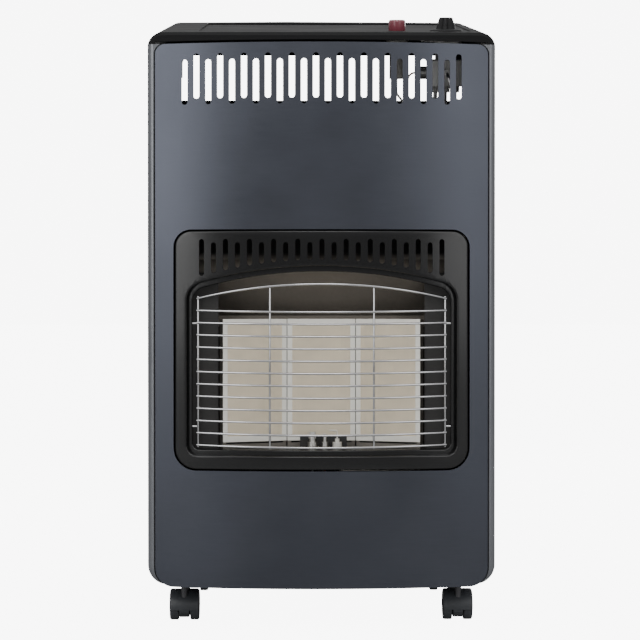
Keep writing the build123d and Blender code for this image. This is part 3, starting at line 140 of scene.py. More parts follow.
GROUPS = {"heater_sheets": HeaterSheets, "heater_guard": HeaterGuard, "heater_finishes": HeaterFinishes}


def sheets():
    """The sizes of the front."""
    return bpy.context.scene.heater_sheets


def guard():
    """The sizes of the wire guard."""
    return bpy.context.scene.heater_guard


def colours():
    """The heater's colours."""
    return bpy.context.scene.heater_finishes


def bow_y(x, depth=0.0):
    """Y of the bowed front at x, or of the layer that lies depth behind it."""
    s = sheets()
    return s.apex + s.bow - sqrt((s.bow - depth) ** 2 - x * x)


# ---------------------------------------------------------------- details, in metres unless it says otherwise
PANEL_WALL = 1.0 * MM
PANEL_CORNERS = (22 * MM, 12 * MM)  # radii at the foot and at the head
PANEL_RIM = 12 * MM  # how far the rim is turned back
WINDOW_CORNERS = (27 * MM, 21 * MM)
WINDOW_RIM = 10 * MM
PUNCHED_EASE = 0.22  # how far punched edges are rounded, as a share of the wall
OUTLET_LOW = 628  # mm
OUTLET_STAGGER = 7  # mm
OUTLET_LENGTH = 54 * MM
BEZEL_WALL = 1.3 * MM
BEZEL_GAP = 1.8 * MM  # between the bezel and the window round it
BEZEL_CORNERS = (25.2 * MM, 19.2 * MM)
BEZEL_RIM = 11 * MM
VENT_HIGH = 463  # mm
VENT_STAGGER = 4  # mm
VENT_RISE = 7.5 * MM  # how far the vents' feet stand over the arch
MOUTH_LOW_CORNER = 12 * MM
MOUTH_HIGH_CORNER = 22 * MM
MOUTH_STEP = 6.5 * MM
MOUTH_STEP_DEPTH = 8 * MM
WELDED = 0.74  # distance between two welded wires' centres, as a share of the wire
GUARD_LUGS = (0.242, 0.366)  # heights
LUG_REACH = 13 * MM
HOOD_RADIUS = 20.4 * MM
HOOD_HALF = 18 * MM
HOOD_WALL = 1.5 * MM
HOOD_TOP = 38.5 * MM
WEB_HALF = 5.8 * MM
WEB_TOP = 38 * MM
WEB_FOOT = 4.5 * MM
AXLE_RADIUS = 2.5 * MM
AXLE_REACH = 7.5 * MM
BUTTON_STEM = 8 * MM
# in millimetres: radius and height of the skirt and the cap, height and radius of the body
KNOB_SKIRT = (
    (0, 1.0), (18.6, 1.0), (19.6, 1.3), (20.0, 2.0), (19.6, 3.0), (18.4, 3.6), (12.5, 4.1), (0, 4.1),
)
KNOB_BODY = (
    (3.6, 12.6), (4.6, 12.0), (8.0, 11.2), (13.0, 9.6), (16.4, 8.5), (17.5, 7.9), (18.0, 7.0), (18.0, 0.01),
)
BUTTON_CAP = (
    (0, 0.5), (10.2, 0.5), (10.4, 0.9), (10.4, 12.6), (10.1, 13.8), (9.2, 14.7), (7.6, 15.0), (0, 15.0),
)
KNOB_FLUTES = 9
FLUTE_DEPTH = 0.16  # as a share of the radius
GRIP_RADIUS = 12.1  # the grip is what is narrower than this, in millimetres
GRIP_HIGH = 17.2  # and lower than this
# in millimetres: radius, and distance outwards from a wheel's inner face
WHEEL_PROFILE = (
    (2.5, 0), (9, 0), (10, 0.6), (15, 0.6), (16.4, 0), (17.4, 0.3), (18, 1.2), (18, 8.9), (17.5, 10.3),
    (16.2, 11), (13.4, 11), (12.8, 10.4), (12.2, 9.2), (6.5, 8.8), (6.0, 10.2), (5.2, 10.8), (0, 10.8),
)
WHEEL_INNER = 7  # from the caster's middle to a wheel's inner face


def in_metres(profile):
    """A profile that is given in millimetres."""
    return [(a * MM, b * MM) for a, b in profile]


def mirrored(points):
    """The points' mirror images, in the order that carries their outline on."""
    return [(-x, z) for x, z in reversed(points)]


# ---------------------------------------------------------------- outlines, as points in X and Z
def arc(cx, cz, radius, start, end, steps):
    """Points along an arc, angles in degrees."""
    turns = [radians(start + (end - start) * i / steps) for i in range(steps + 1)]
    return [(cx + radius * cos(t), cz + radius * sin(t)) for t in turns]


def rounded(half, low, high, r_low, r_high, x=0.0, steps=8):
    """A rounded upright rectangle round x."""
    points = arc(x + half - r_low, low + r_low, r_low, -90, 0, steps)
    points += arc(x + half - r_high, high - r_high, r_high, 0, 90, steps)
    points += arc(x - half + r_high, high - r_high, r_high, 90, 180, steps)
    points += arc(x - half + r_low, low + r_low, r_low, 180, 270, steps)
    return points


def mouth_outline(inset, steps=8):
    """The bezel's arched mouth, or an outline inset from it, always with as many points."""
    s = sheets()
    half = s.mouth_width / 2 - inset
    low = s.mouth_low + inset
    r_low = MOUTH_LOW_CORNER - inset * 0.6
    r_high = MOUTH_HIGH_CORNER - inset * 0.6
    big = s.mouth_arch - inset
    centre = s.mouth_high - s.mouth_arch
    shoulder = centre + sqrt((big - r_high) ** 2 - (half - r_high) ** 2)
    end = atan2(shoulder - centre, half - r_high) * 180 / pi
    points = arc(half - r_low, low + r_low, r_low, -90, 0, steps)
    points += arc(half - r_high, shoulder, r_high, 0, end, steps)
    points += arc(0, centre, big, end, 180 - end, 30)[1:-1]
    points += arc(-half + r_high, shoulder, r_high, 180 - end, 180, steps)
    points += arc(-half + r_low, low + r_low, r_low, 180, 270, steps)
    return points


def slot(width, low, high, x):
    """An upright slot round x. Its ends are just short of half circles, so that no two points meet."""
    half = width / 2
    return rounded(half, low, high, half * 0.999, half * 0.999, x, 6)


def outlet_outlines():
    """The slots across the head of the front; every second one stands higher."""
    s = sheets()
    slots = []
    for i in range(s.outlets):
        x = (i - (s.outlets - 1) / 2) * s.outlet_pitch
        low = (OUTLET_LOW + OUTLET_STAGGER * (i % 2)) * MM
        slots.append(slot(s.outlet_width, low, low + OUTLET_LENGTH, x))
    return slots


def vent_outlines():
    """The slots across the head of the bezel, whose feet follow the arch."""
    s = sheets()
    slots = []
    for i in range(s.vents):
        x = (i - (s.vents - 1) / 2) * s.vent_pitch
        arch = s.mouth_high - s.mouth_arch + sqrt(s.mouth_arch**2 - x * x)
        high = (VENT_HIGH + VENT_STAGGER * ((i + 1) % 2)) * MM
        slots.append(slot(s.vent_width, arch + VENT_RISE, high, x))
    return slots


# ---------------------------------------------------------------- mesh helpers
def ring(bm, points, y=0.0):
    """A closed loop of edges through points in X and Z."""
    verts = [bm.verts.new((x, y, z)) for x, z in points]
    return [bm.edges.new((a, b)) for a, b in zip(verts, verts[1:] + verts[:1])]


def filled(bm, *loops):
    """One flat face region between loops of edges, facing -Y."""
    edges = [e for loop in loops for e in loop]
    bmesh.ops.triangle_fill(bm, use_beauty=True, use_dissolve=False, edges=edges, normal=(0, -1, 0))


def turned_back(bm, loop, depth):
    """Fold a loop's edge back; returns the new loop of edges."""
    out = bmesh.ops.extrude_edge_only(bm, edges=loop)["geom"]
    verts = [g for g in out if isinstance(g, bmesh.types.BMVert)]
    bmesh.ops.translate(bm, verts=verts, vec=(0, depth, 0))
    found = set(verts)
    return [g for g in out if isinstance(g, bmesh.types.BMEdge) and set(g.verts) <= found]


def eased(bm, edges, width, segments=3):
    """Round edges off."""
    bmesh.ops.bevel(
        bm, geom=edges, offset=width, offset_type="OFFSET", affect="EDGES",
        segments=segments, profile=0.5, material=-1, clamp_overlap=True,
    )


def bowed(bm, half, step=6 * MM, aside=1e-5):
    """Cut a flat pressing into narrow strips, a little aside of round numbers, and bend it to the bow."""
    count = ceil(half / step)
    for i in range(-count, count + 1):
        geom = bm.verts[:] + bm.edges[:] + bm.faces[:]
        cut = (i * step + aside, 0, 0)
        bmesh.ops.bisect_plane(bm, geom=geom, dist=1e-6, plane_co=cut, plane_no=(1, 0, 0))
    for v in bm.verts:
        v.co.y = bow_y(v.co.x, v.co.y)


def lathe(bm, profile, centre=(0, 0, 0), steps=48, axis="Z"):
    """Turn a profile of (radius, height) points round an axis."""
    verts = [bm.verts.new((r, 0, h)) for r, h in profile]
    edges = [bm.edges.new(pair) for pair in zip(verts, verts[1:])]
    bmesh.ops.spin(
        bm, geom=verts + edges, cent=(0, 0, 0), axis=(0, 0, 1), dvec=(0, 0, 0),
        angle=2 * pi, steps=steps, use_merge=True, use_duplicate=False,
    )
    made = connected(verts[0])
    bmesh.ops.remove_doubles(bm, verts=made, dist=1e-6)
    made = connected(next(v for v in verts if v.is_valid))
    if axis == "X":
        bmesh.ops.rotate(bm, verts=made, cent=(0, 0, 0), matrix=Matrix.Rotation(pi / 2, 3, "Y"))
    bmesh.ops.translate(bm, verts=made, vec=centre)


def connected(seed):
    """Every vertex joined to a seed vertex."""
    found, todo = {seed}, [seed]
    while todo:
        for edge in todo.pop().link_edges:
            for v in edge.verts:
                if v not in found:
                    found.add(v)
                    todo.append(v)
    return list(found)


def rod(bm, start, end, radius, sides=12):
    """A straight round bar with eased ends."""
    start, end = Vector(start), Vector(end)
    run = end - start
    turn = run.to_track_quat("Z", "Y").to_matrix().to_4x4()
    made = bmesh.ops.create_cone(
        bm, cap_ends=True, cap_tris=False, segments=sides, radius1=radius, radius2=radius,
        depth=run.length, matrix=Matrix.Translation((start + end) / 2) @ turn,
    )["verts"]
    rims = [e for e in {e for v in made for e in v.link_edges} if any(len(f.verts) > 4 for f in e.link_faces)]
    eased(bm, rims, radius * 0.25, 2)


def piece(name, bm, material, body, replaced=(), sharp=35.0):
    """Turn a mesh's normals outwards and make it a piece."""
    bmesh.ops.remove_doubles(bm, verts=bm.verts[:], dist=1e-7)
    bmesh.ops.recalc_face_normals(bm, faces=bm.faces[:])
    return wrapped(name, bm, material, body, replaced, sharp)


def wrapped(name, bm, material, body, replaced=(), sharp=35.0):
    """Make a piece of a mesh whose normals are right: smooth faces, sharp folds, a material and a body."""
    for face in bm.faces:
        face.smooth = True
    limit = radians(sharp)
    for edge in bm.edges:
        if len(edge.link_faces) == 2 and edge.calc_face_angle(0) > limit:
            edge.smooth = False
    mesh = bpy.data.meshes.new(name)
    bm.to_mesh(mesh)
    bm.free()
    obj = bpy.data.objects.new(name, mesh)
    bpy.context.scene.collection.objects.link(obj)
    mesh.materials.append(material)
    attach(obj, body)
    if replaced:
        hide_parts(*replaced)
    return obj


def walled(obj, thickness):
    """Give an open sheet its wall, inwards from its faces, with punched edges that stay crisp."""
    wall = obj.modifiers.new("wall", "SOLIDIFY")
    wall.thickness = thickness
    wall.offset = -1
    wall.use_even_offset = True
    ease = obj.modifiers.new("punched edges", "BEVEL")
    ease.width = thickness * PUNCHED_EASE
    ease.segments = 2
    ease.limit_method = "ANGLE"
    ease.angle_limit = radians(60)
    weigh(obj)


def weigh(obj):
    """Let the broad faces set the shading, so that flat and gently bowed sheet looks true."""
    weighted = obj.modifiers.new("true shading", "WEIGHTED_NORMAL")
    weighted.mode = "FACE_AREA"
    weighted.weight = 80
    weighted.keep_sharp = True


def softened(node, name, material, width, segments=2, sharp=35.0, foot=0.0):
    """A copy of a CAD node with its edges eased, in the node's place, and its foot raised if need be."""
    source = frame["nodes"][node]
    bm = bmesh.new()
    bm.from_mesh(source.data)
    foot_high = min(v.co.z for v in bm.verts) + 7 * MM
    for v in bm.verts:
        if v.co.z < foot_high:
            v.co.z += foot
    bmesh.ops.remove_doubles(bm, verts=bm.verts[:], dist=2e-6)
    bmesh.ops.dissolve_limit(bm, angle_limit=radians(1), verts=bm.verts[:], edges=bm.edges[:])
    obj = wrapped(name, bm, material, body_of_node(node), (node,), sharp)
    ease = obj.modifiers.new("eased edges", "BEVEL")
    ease.width = width
    ease.segments = segments
    ease.limit_method = "ANGLE"
    ease.angle_limit = radians(sharp)
    ease.harden_normals = True
    return obj


def rounded_copies(material, *nodes):
    """Copies of many-sided CAD pieces, shaded as the round pieces that they stand for."""
    for node in nodes:
        softened(node, node + "_smooth", material, 0.15 * MM, sharp=65.0)


def body_of_node(node):
    """The body that a CAD node rides on."""
    for body, nodes in frame["record"]["behaviour"]["bodies"].items():
        if node in nodes:
            return body
    raise RuntimeError("no body holds " + node)


# ---------------------------------------------------------------- materials
class Finish(NamedTuple):
    """How a surface looks. Its colour is linear, or the name of one of the colours that a user may change."""

    base: object
    rough: float
    metal: float = 0.0
    scale: float = 300.0  # of the grain
    stretch: tuple = (1, 1, 1)  # of the grain along the axes
    vary: float = 0.12  # how much the grain changes the colour
    bump: float = 0.1  # strength of the grain's relief
    deep: float = 0.05 * MM  # depth of that relief
    coat: float = 0.0
    gloss: float = 0.5
    shade: float = 1.0  # makes the colour lighter or darker


LEVEL = (0.04, 0.04, 1)
UPRIGHT = (1, 1, 0.2)
DRAWN = (1, 1, 0.1)
LOOKS = {
    # the cabinet and its front
    "front_steel": Finish(
        "front", rough=0.34, metal=1.0, scale=900, stretch=LEVEL, vary=0.10, bump=0.12, deep=0.02 * MM,
    ),
    "side_paint": Finish("sides", rough=0.36, metal=0.75, scale=1800, vary=0.10, bump=0.06, deep=0.02 * MM),
    "grey_paint": Finish((0.115, 0.118, 0.125), rough=0.5, scale=1400, bump=0.25),
    "black_plastic": Finish(
        "black", rough=0.50, scale=1100, vary=0.25, bump=0.35, deep=0.06 * MM, gloss=0.14,
    ),
    "cover_plastic": Finish(
        "black", rough=0.55, scale=1100, vary=0.25, bump=0.35, deep=0.06 * MM, gloss=0.07, shade=0.6,
    ),
    "bezel_paint": Finish("bezel", rough=0.22, scale=700, vary=0.2, bump=0.06, deep=0.02 * MM, coat=0.15),
    "chrome_plate": Finish(
        (0.56, 0.56, 0.57), rough=0.14, metal=1.0, scale=500, vary=0.05, bump=0.03, deep=0.01 * MM,
    ),
    # the burners and what the fire touches
    "dark_paint": Finish((0.028, 0.027, 0.026), rough=0.6, scale=600, vary=0.3, bump=0.2),
    "heat_steel": Finish(
        (0.19, 0.175, 0.155), rough=0.48, metal=0.85, scale=260, stretch=UPRIGHT, vary=0.25, deep=0.03 * MM,
    ),
    # browned steel, whose head is painted black with shade behind the bezel's arch
    "sooted_steel": Finish(
        (0.24, 0.215, 0.185), rough=0.52, metal=0.6, scale=260, stretch=UPRIGHT, vary=0.2, deep=0.03 * MM,
    ),
    "trim_steel": Finish(
        (0.97, 0.94, 0.86), rough=0.5, scale=500, stretch=UPRIGHT, vary=0.05, bump=0.05, deep=0.02 * MM,
    ),
    "glazed_ceramic": Finish(
        (0.78, 0.76, 0.70), rough=0.2, scale=400, vary=0.05, bump=0.03, deep=0.02 * MM, coat=0.4,
    ),
    # the valve, the pipes and the leads
    "bright_steel": Finish(
        (0.72, 0.71, 0.68), rough=0.28, metal=0.9,
        scale=500, stretch=UPRIGHT, vary=0.08, bump=0.06, deep=0.02 * MM,
    ),
    "brass_turned": Finish(
        (0.72, 0.50, 0.20), rough=0.3, metal=1.0,
        scale=800, stretch=DRAWN, vary=0.1, bump=0.08, deep=0.02 * MM,
    ),
    "cast_alloy": Finish((0.66, 0.66, 0.65), rough=0.45, metal=0.9, scale=700, bump=0.35, deep=0.08 * MM),
    "pipe_alloy": Finish(
        (0.66, 0.66, 0.67), rough=0.32, metal=1.0,
        scale=400, stretch=(1, 1, 0.05), vary=0.08, bump=0.05, deep=0.02 * MM,
    ),
    "copper_lead": Finish(
        (0.62, 0.30, 0.16), rough=0.32, metal=1.0, scale=400, stretch=DRAWN, bump=0.05, deep=0.02 * MM,
    ),
    "cable_sheath": Finish((0.62, 0.60, 0.55), rough=0.5, scale=900, vary=0.08, deep=0.03 * MM),
    "pale_plastic": Finish((0.55, 0.54, 0.50), rough=0.42, scale=800, vary=0.06, bump=0.08, deep=0.03 * MM),
    # the button and the casters
    "button_plastic": Finish(
        "button", rough=0.28, scale=500, vary=0.08, bump=0.05, deep=0.02 * MM, coat=0.3,
    ),
    "wheel_plastic": Finish((0.046, 0.050, 0.056), rough=0.45, scale=900, vary=0.2, bump=0.2),
    "dark_steel": Finish(
        (0.09, 0.09, 0.095), rough=0.4, metal=0.8, scale=600, stretch=UPRIGHT, bump=0.08, deep=0.02 * MM,
    ),
}
COAT_ROUGH = 0.12
# painted shade: the black that the deflector's head takes behind the bezel's arch
ARCH_SHADE = (0.004, 0.004, 0.004)
ARCH_SHADE_FROM, ARCH_SHADE_FULL = 0.432, 0.452  # heights between which the painted shade behind the bezel's arch closes
PLAQUE_TURNS = {"left": 22.5, "middle": 0.0, "right": -22.5}
HOLE_PITCH = 1.9 * MM
made_finishes = {}


def node_tree(name):
    """A new material with its tree and its shader."""
    material = bpy.data.materials.new(name)
    material.use_nodes = True
    tree = material.node_tree
    return material, tree, tree.nodes["Principled BSDF"]


def feed(tree, socket, value):
    """Set an input, or link an output to it."""
    if isinstance(value, bpy.types.NodeSocket):
        tree.links.new(value, socket)
    else:
        socket.default_value = value


def grain(tree, scale, stretch=(1, 1, 1), detail=4.0, roughness=0.55):
    """Noise over Object coordinates, stretched along the axes."""
    where = tree.nodes.new("ShaderNodeTexCoord")
    place = tree.nodes.new("ShaderNodeMapping")
    place.inputs["Scale"].default_value = stretch
    noise = tree.nodes.new("ShaderNodeTexNoise")
    noise.inputs["Scale"].default_value = scale
    noise.inputs["Detail"].default_value = detail
    noise.inputs["Roughness"].default_value = roughness
    tree.links.new(where.outputs["Object"], place.inputs["Vector"])
    tree.links.new(place.outputs["Vector"], noise.inputs["Vector"])
    return noise.outputs["Fac"]


def spread(tree, value, low, high, out_low, out_high):
    """Map a value to another range."""
    ranged = tree.nodes.new("ShaderNodeMapRange")
    for socket, number in zip(("From Min", "From Max", "To Min", "To Max"), (low, high, out_low, out_high)):
        ranged.inputs[socket].default_value = number
    tree.links.new(value, ranged.inputs["Value"])
    return ranged.outputs["Result"]


def reckoned(tree, operation, *values):
    """The result of a sum on numbers or outputs."""
    node = tree.nodes.new("ShaderNodeMath")
    node.operation = operation
    for socket, value in zip(node.inputs, values):
        feed(tree, socket, value)
    return node.outputs["Value"]


def tinted(tree, factor, first, second):
    """Blend two colours, or outputs that give colours, by a factor."""
    mix = tree.nodes.new("ShaderNodeMix")
    mix.data_type = "RGBA"
    for name, value in (("A", first), ("B", second)):
        feed(tree, mix.inputs[name], (*value, 1) if isinstance(value, tuple) else value)
    tree.links.new(factor, mix.inputs["Factor"])
    return mix.outputs["Result"]


def embossed(tree, shader, height, strength, distance):
    """Raise the surface by a height."""
    bump = tree.nodes.new("ShaderNodeBump")
    bump.inputs["Strength"].default_value = strength
    bump.inputs["Distance"].default_value = distance
    tree.links.new(height, bump.inputs["Height"])
    tree.links.new(bump.outputs["Normal"], shader.inputs["Normal"])


def scaled(base, factor):
    """A colour made lighter or darker."""
    return tuple(min(1.0, c * factor) for c in base)


def finish(name):
    """The material of a look, with fine grain in its colour, gloss and relief, and broad faint mottling."""
    if name in made_finishes:
        return made_finishes[name]
    look = LOOKS[name]
    base = getattr(colours(), look.base) if isinstance(look.base, str) else look.base
    base = scaled(base, look.shade)
    material, tree, shader = node_tree(name)
    fine = grain(tree, look.scale, look.stretch)
    broad = grain(tree, 9.0, detail=2.0)
    mixed = reckoned(tree, "MULTIPLY_ADD", fine, 0.6, spread(tree, broad, 0.3, 0.7, 0.0, 0.4))
    tint = tinted(tree, mixed, scaled(base, 1 - look.vary), scaled(base, 1 + look.vary))
    tree.links.new(tint, shader.inputs["Base Color"])
    roughness = spread(tree, mixed, 0.2, 0.8, look.rough * 0.85, look.rough * 1.15)
    tree.links.new(roughness, shader.inputs["Roughness"])
    shader.inputs["Metallic"].default_value = look.metal
    shader.inputs["Specular IOR Level"].default_value = look.gloss
    if look.coat:
        shader.inputs["Coat Weight"].default_value = look.coat
        shader.inputs["Coat Roughness"].default_value = COAT_ROUGH
    embossed(tree, shader, fine, look.bump, look.deep)
    made_finishes[name] = material
    return material


def sooted_steel():
    """Browned steel that is painted black with shade towards its head, where it stands behind the bezel's arch."""
    material = finish("sooted_steel")
    tree = material.node_tree
    base_color = tree.nodes["Principled BSDF"].inputs["Base Color"]
    where = tree.nodes.new("ShaderNodeTexCoord")
    split = tree.nodes.new("ShaderNodeSeparateXYZ")
    tree.links.new(where.outputs["Object"], split.inputs["Vector"])
    # painted shade, growing black towards the deflector's head
    arch_shade = spread(tree, split.outputs["Z"], ARCH_SHADE_FROM, ARCH_SHADE_FULL, 0, 1)
    tree.links.new(tinted(tree, arch_shade, base_color.links[0].from_socket, ARCH_SHADE), base_color)
    return material


def plaque_ceramic(turn):
    """Porous ceramic with rows of fine holes, painted as darker dots for the shade inside them, square to a plaque
    turned by an angle.
    """
    material, tree, shader = node_tree("plaque_ceramic_%d" % round(turn))
    base = tuple(colours().ceramic)
    where = tree.nodes.new("ShaderNodeTexCoord")
    place = tree.nodes.new("ShaderNodeMapping")
    place.inputs["Rotation"].default_value = (0, 0, radians(-turn))
    tree.links.new(where.outputs["Object"], place.inputs["Vector"])
    crests = []
    for angle in (0, 60, 120):
        wave = tree.nodes.new("ShaderNodeVectorMath")
        wave.operation = "DOT_PRODUCT"
        wave.inputs[1].default_value = (cos(radians(angle)), 0, sin(radians(angle)))
        tree.links.new(place.outputs["Vector"], wave.inputs[0])
        phase = reckoned(tree, "MULTIPLY", wave.outputs["Value"], 4 * pi / (sqrt(3) * HOLE_PITCH))
        crests.append(reckoned(tree, "COSINE", phase))
    total = reckoned(tree, "ADD", reckoned(tree, "ADD", crests[0], crests[1]), crests[2])
    solid = spread(tree, total, 1.1, 1.9, 1.0, 0.0)
    mottle = grain(tree, 60, detail=5.0, roughness=0.6)
    body = tinted(tree, spread(tree, mottle, 0.3, 0.7, 0, 1), scaled(base, 0.90), scaled(base, 1.06))
    # painted shade: the holes are coloured darker than the ceramic between them
    tree.links.new(tinted(tree, solid, scaled(base, 0.42), body), shader.inputs["Base Color"])
    shader.inputs["Roughness"].default_value = 0.85
    embossed(tree, shader, solid, 0.5, 0.4 * MM)
    return material


# ---------------------------------------------------------------- operators
class HeaterOperator(bpy.types.Operator):
    """What the heater's operators share."""

    bl_options = {"REGISTER", "UNDO"}

    def execute(self, context):
        """Make the pieces, and let any error stop the script."""
        self.make()
        return {"FINISHED"}


class HEATER_OT_front(HeaterOperator):
    """Press the bowed front panel with its outlet slots and its window."""

    bl_idname = "heater.front"
    bl_label = "Front panel"

    def make(self):
        s = sheets()
        bm = bmesh.new()
        rim = ring(bm, rounded(s.panel_width / 2, s.panel_low, s.panel_high, *PANEL_CORNERS, steps=10))
        window = ring(bm, rounded(s.window_width / 2, s.window_low, s.window_high, *WINDOW_CORNERS, steps=10))
        slots = [ring(bm, outline) for outline in outlet_outlines()]
        filled(bm, rim, window, *slots)
        turned_back(bm, rim, PANEL_RIM)
        turned_back(bm, window, WINDOW_RIM)
        eased(bm, rim + window, 1.8 * MM, 4)
        bowed(bm, s.panel_width / 2)
        walled(piece("front_panel_sheet", bm, finish("front_steel"), "cabinet", ("front_panel",)), PANEL_WALL)


class HEATER_OT_bezel(HeaterOperator):
    """Press the black window bezel with its vents and its stepped, arched mouth."""

    bl_idname = "heater.bezel"
    bl_label = "Window bezel"

    def make(self):
        s = sheets()
        bm = bmesh.new()
        low = s.window_low + BEZEL_GAP
        high = s.window_high - BEZEL_GAP
        rim = ring(bm, rounded(s.window_width / 2 - BEZEL_GAP, low, high, *BEZEL_CORNERS, steps=10))
        mouth = ring(bm, mouth_outline(0))
        slots = [ring(bm, outline) for outline in vent_outlines()]
        filled(bm, rim, mouth, *slots)
        turned_back(bm, rim, BEZEL_RIM)
        cheek = turned_back(bm, mouth, MOUTH_STEP_DEPTH)
        step = ring(bm, mouth_outline(MOUTH_STEP), MOUTH_STEP_DEPTH)
        bmesh.ops.bridge_loops(bm, edges=cheek + step)
        turned_back(bm, step, 8 * MM)
        eased(bm, rim, 1.6 * MM, 3)
        eased(bm, mouth, 2.2 * MM, 4)
        eased(bm, [e for e in step if e.is_valid], 1.6 * MM, 3)
        bowed(bm, s.window_width / 2)
        pressing = piece("window_bezel_pressing", bm, finish("bezel_paint"), "cabinet", ("window_bezel",), 50)
        walled(pressing, BEZEL_WALL)


class HEATER_OT_guard(HeaterOperator):
    """Bend and weld the chrome wire guard."""

    bl_idname = "heater.guard"
    bl_label = "Wire guard"

    def bar(self, bm, end_z, rise):
        """A bar bowed forward and a little up or down."""
        g = guard()
        half = g.width / 2
        sagitta = hypot(g.sagitta, rise)
        radius = (half**2 + sagitta**2) / (2 * sagitta)
        forward = Vector((0, -g.sagitta, rise)).normalized()
        centre = Vector((0, self.plan_y(half), end_z)) + forward * (sagitta - radius)
        turn = atan2(half, radius - sagitta)
        axis = Vector((1, 0, 0)).cross(forward)
        made = bmesh.ops.create_circle(bm, cap_ends=True, segments=12, radius=g.wire / 2)["verts"]
        level = Matrix.Rotation(pi / 2, 4, "Y")
        bmesh.ops.transform(bm, verts=made, matrix=Matrix.Translation(centre + forward * radius) @ level)
        bmesh.ops.rotate(bm, verts=made, cent=centre, matrix=Matrix.Rotation(-turn, 3, axis))
        faces = list({f for v in made for f in v.link_faces})
        geom = made + list({e for v in made for e in v.link_edges}) + faces
        bmesh.ops.spin(
            bm, geom=geom, cent=centre, axis=axis, dvec=(0, 0, 0), angle=2 * turn,
            steps=32, use_merge=False, use_duplicate=False,
        )

    def plan_y(self, x):
        """Y of the bars' centres at x."""
        g = guard()
        radius = ((g.width / 2) ** 2 + g.sagitta**2) / (2 * g.sagitta)
        return CAD_BOX[0][1] + g.wire / 2 + radius - sqrt(radius**2 - x * x)

    def make(self):
        g = guard()
        bm = bmesh.new()
        for i in range(g.bars):
            self.bar(bm, g.low + i * g.pitch, -g.droop)
        self.bar(bm, g.arch_end, g.arch_rise)
        half = g.width / 2
        behind = g.wire * WELDED
        foot = g.low - g.droop - 2 * MM
        for side in (-1, 1):
            x = side * (half - g.wire / 2)
            y = self.plan_y(x) + behind
            rod(bm, (x, y, foot + 1 * MM), (x, y, g.arch_end + g.wire), g.wire / 2)
            for z in GUARD_LUGS:
                start = (side * (half - g.wire), y + behind, z)
                rod(bm, start, (start[0] + side * LUG_REACH, y + behind, z), g.wire / 2)
            x = side * g.upright
            head = g.arch_end + g.arch_rise * (1 - (g.upright / half) ** 2)
            y = self.plan_y(x) + behind
            rod(bm, (x, y, foot), (x, y, head + g.wire / 2), g.wire / 2)
        piece("wire_guard_welded", bm, finish("chrome_plate"), "cabinet", ("wire_guard",))


class HEATER_OT_top(HeaterOperator):
    """Ease the edges of the moulded top cover."""

    bl_idname = "heater.top"
    bl_label = "Top cover"

    def make(self):
        softened("top_cover", "top_cover_moulding", finish("cover_plastic"), 1.2 * MM, segments=3, sharp=24)


class HEATER_OT_controls(HeaterOperator):
    """Mould the knob and the ignition button."""

    bl_idname = "heater.controls"
    bl_label = "Knob and button"

    def place(self, bm, origin, axis):
        """Turn and move a mesh to a control's place."""
        lean = Matrix.Rotation(-atan2(axis.y, axis.z), 4, "X")
        bmesh.ops.transform(bm, verts=bm.verts[:], matrix=Matrix.Translation(origin) @ lean)

    def knob(self, bm):
        """A round skirt, and over it a body whose grip is fluted."""
        lathe(bm, in_metres(KNOB_SKIRT), steps=64)
        steps = 12 * KNOB_FLUTES
        rows = []
        for height, radius in KNOB_BODY:
            fluted = radius < GRIP_RADIUS and height < GRIP_HIGH
            row = []
            for i in range(steps):
                t = 2 * pi * i / steps
                depth = FLUTE_DEPTH * max(0.0, cos(KNOB_FLUTES * t)) ** 1.5 if fluted else 0.0
                reach = radius * (1 - depth)
                row.append(bm.verts.new((reach * cos(t) * MM, reach * sin(t) * MM, height * MM)))
            rows.append([bm.edges.new((a, b)) for a, b in zip(row, row[1:] + row[:1])])
        for low, high in zip(rows, rows[1:]):
            bmesh.ops.bridge_loops(bm, edges=low + high)

    def button(self, bm):
        """A round cap on a square stem."""
        lathe(bm, in_metres(BUTTON_CAP), steps=48)
        made = bmesh.ops.create_cube(bm, size=BUTTON_STEM)["verts"]
        bmesh.ops.scale(bm, verts=made, vec=(1, 1, 2.5))
        bmesh.ops.translate(bm, verts=made, vec=(0, 0, -9.5 * MM))

    def make(self):
        turn = next(j for j in frame["joints"] if j["name"] == "knob_turn")
        axis = Vector(turn["axis"])
        origin = Vector(turn["pos_m"])
        bm = bmesh.new()
        self.knob(bm)
        self.place(bm, origin, axis)
        piece("control_knob_moulding", bm, finish("black_plastic"), "control_knob", ("control_knob",))
        low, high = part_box("ignition_button")
        bm = bmesh.new()
        self.button(bm)
        self.place(bm, Vector(((low.x + high.x) / 2, origin.y, origin.z)), axis)
        piece("ignition_button_cap", bm, finish("button_plastic"), "ignition_button", ("ignition_button",))


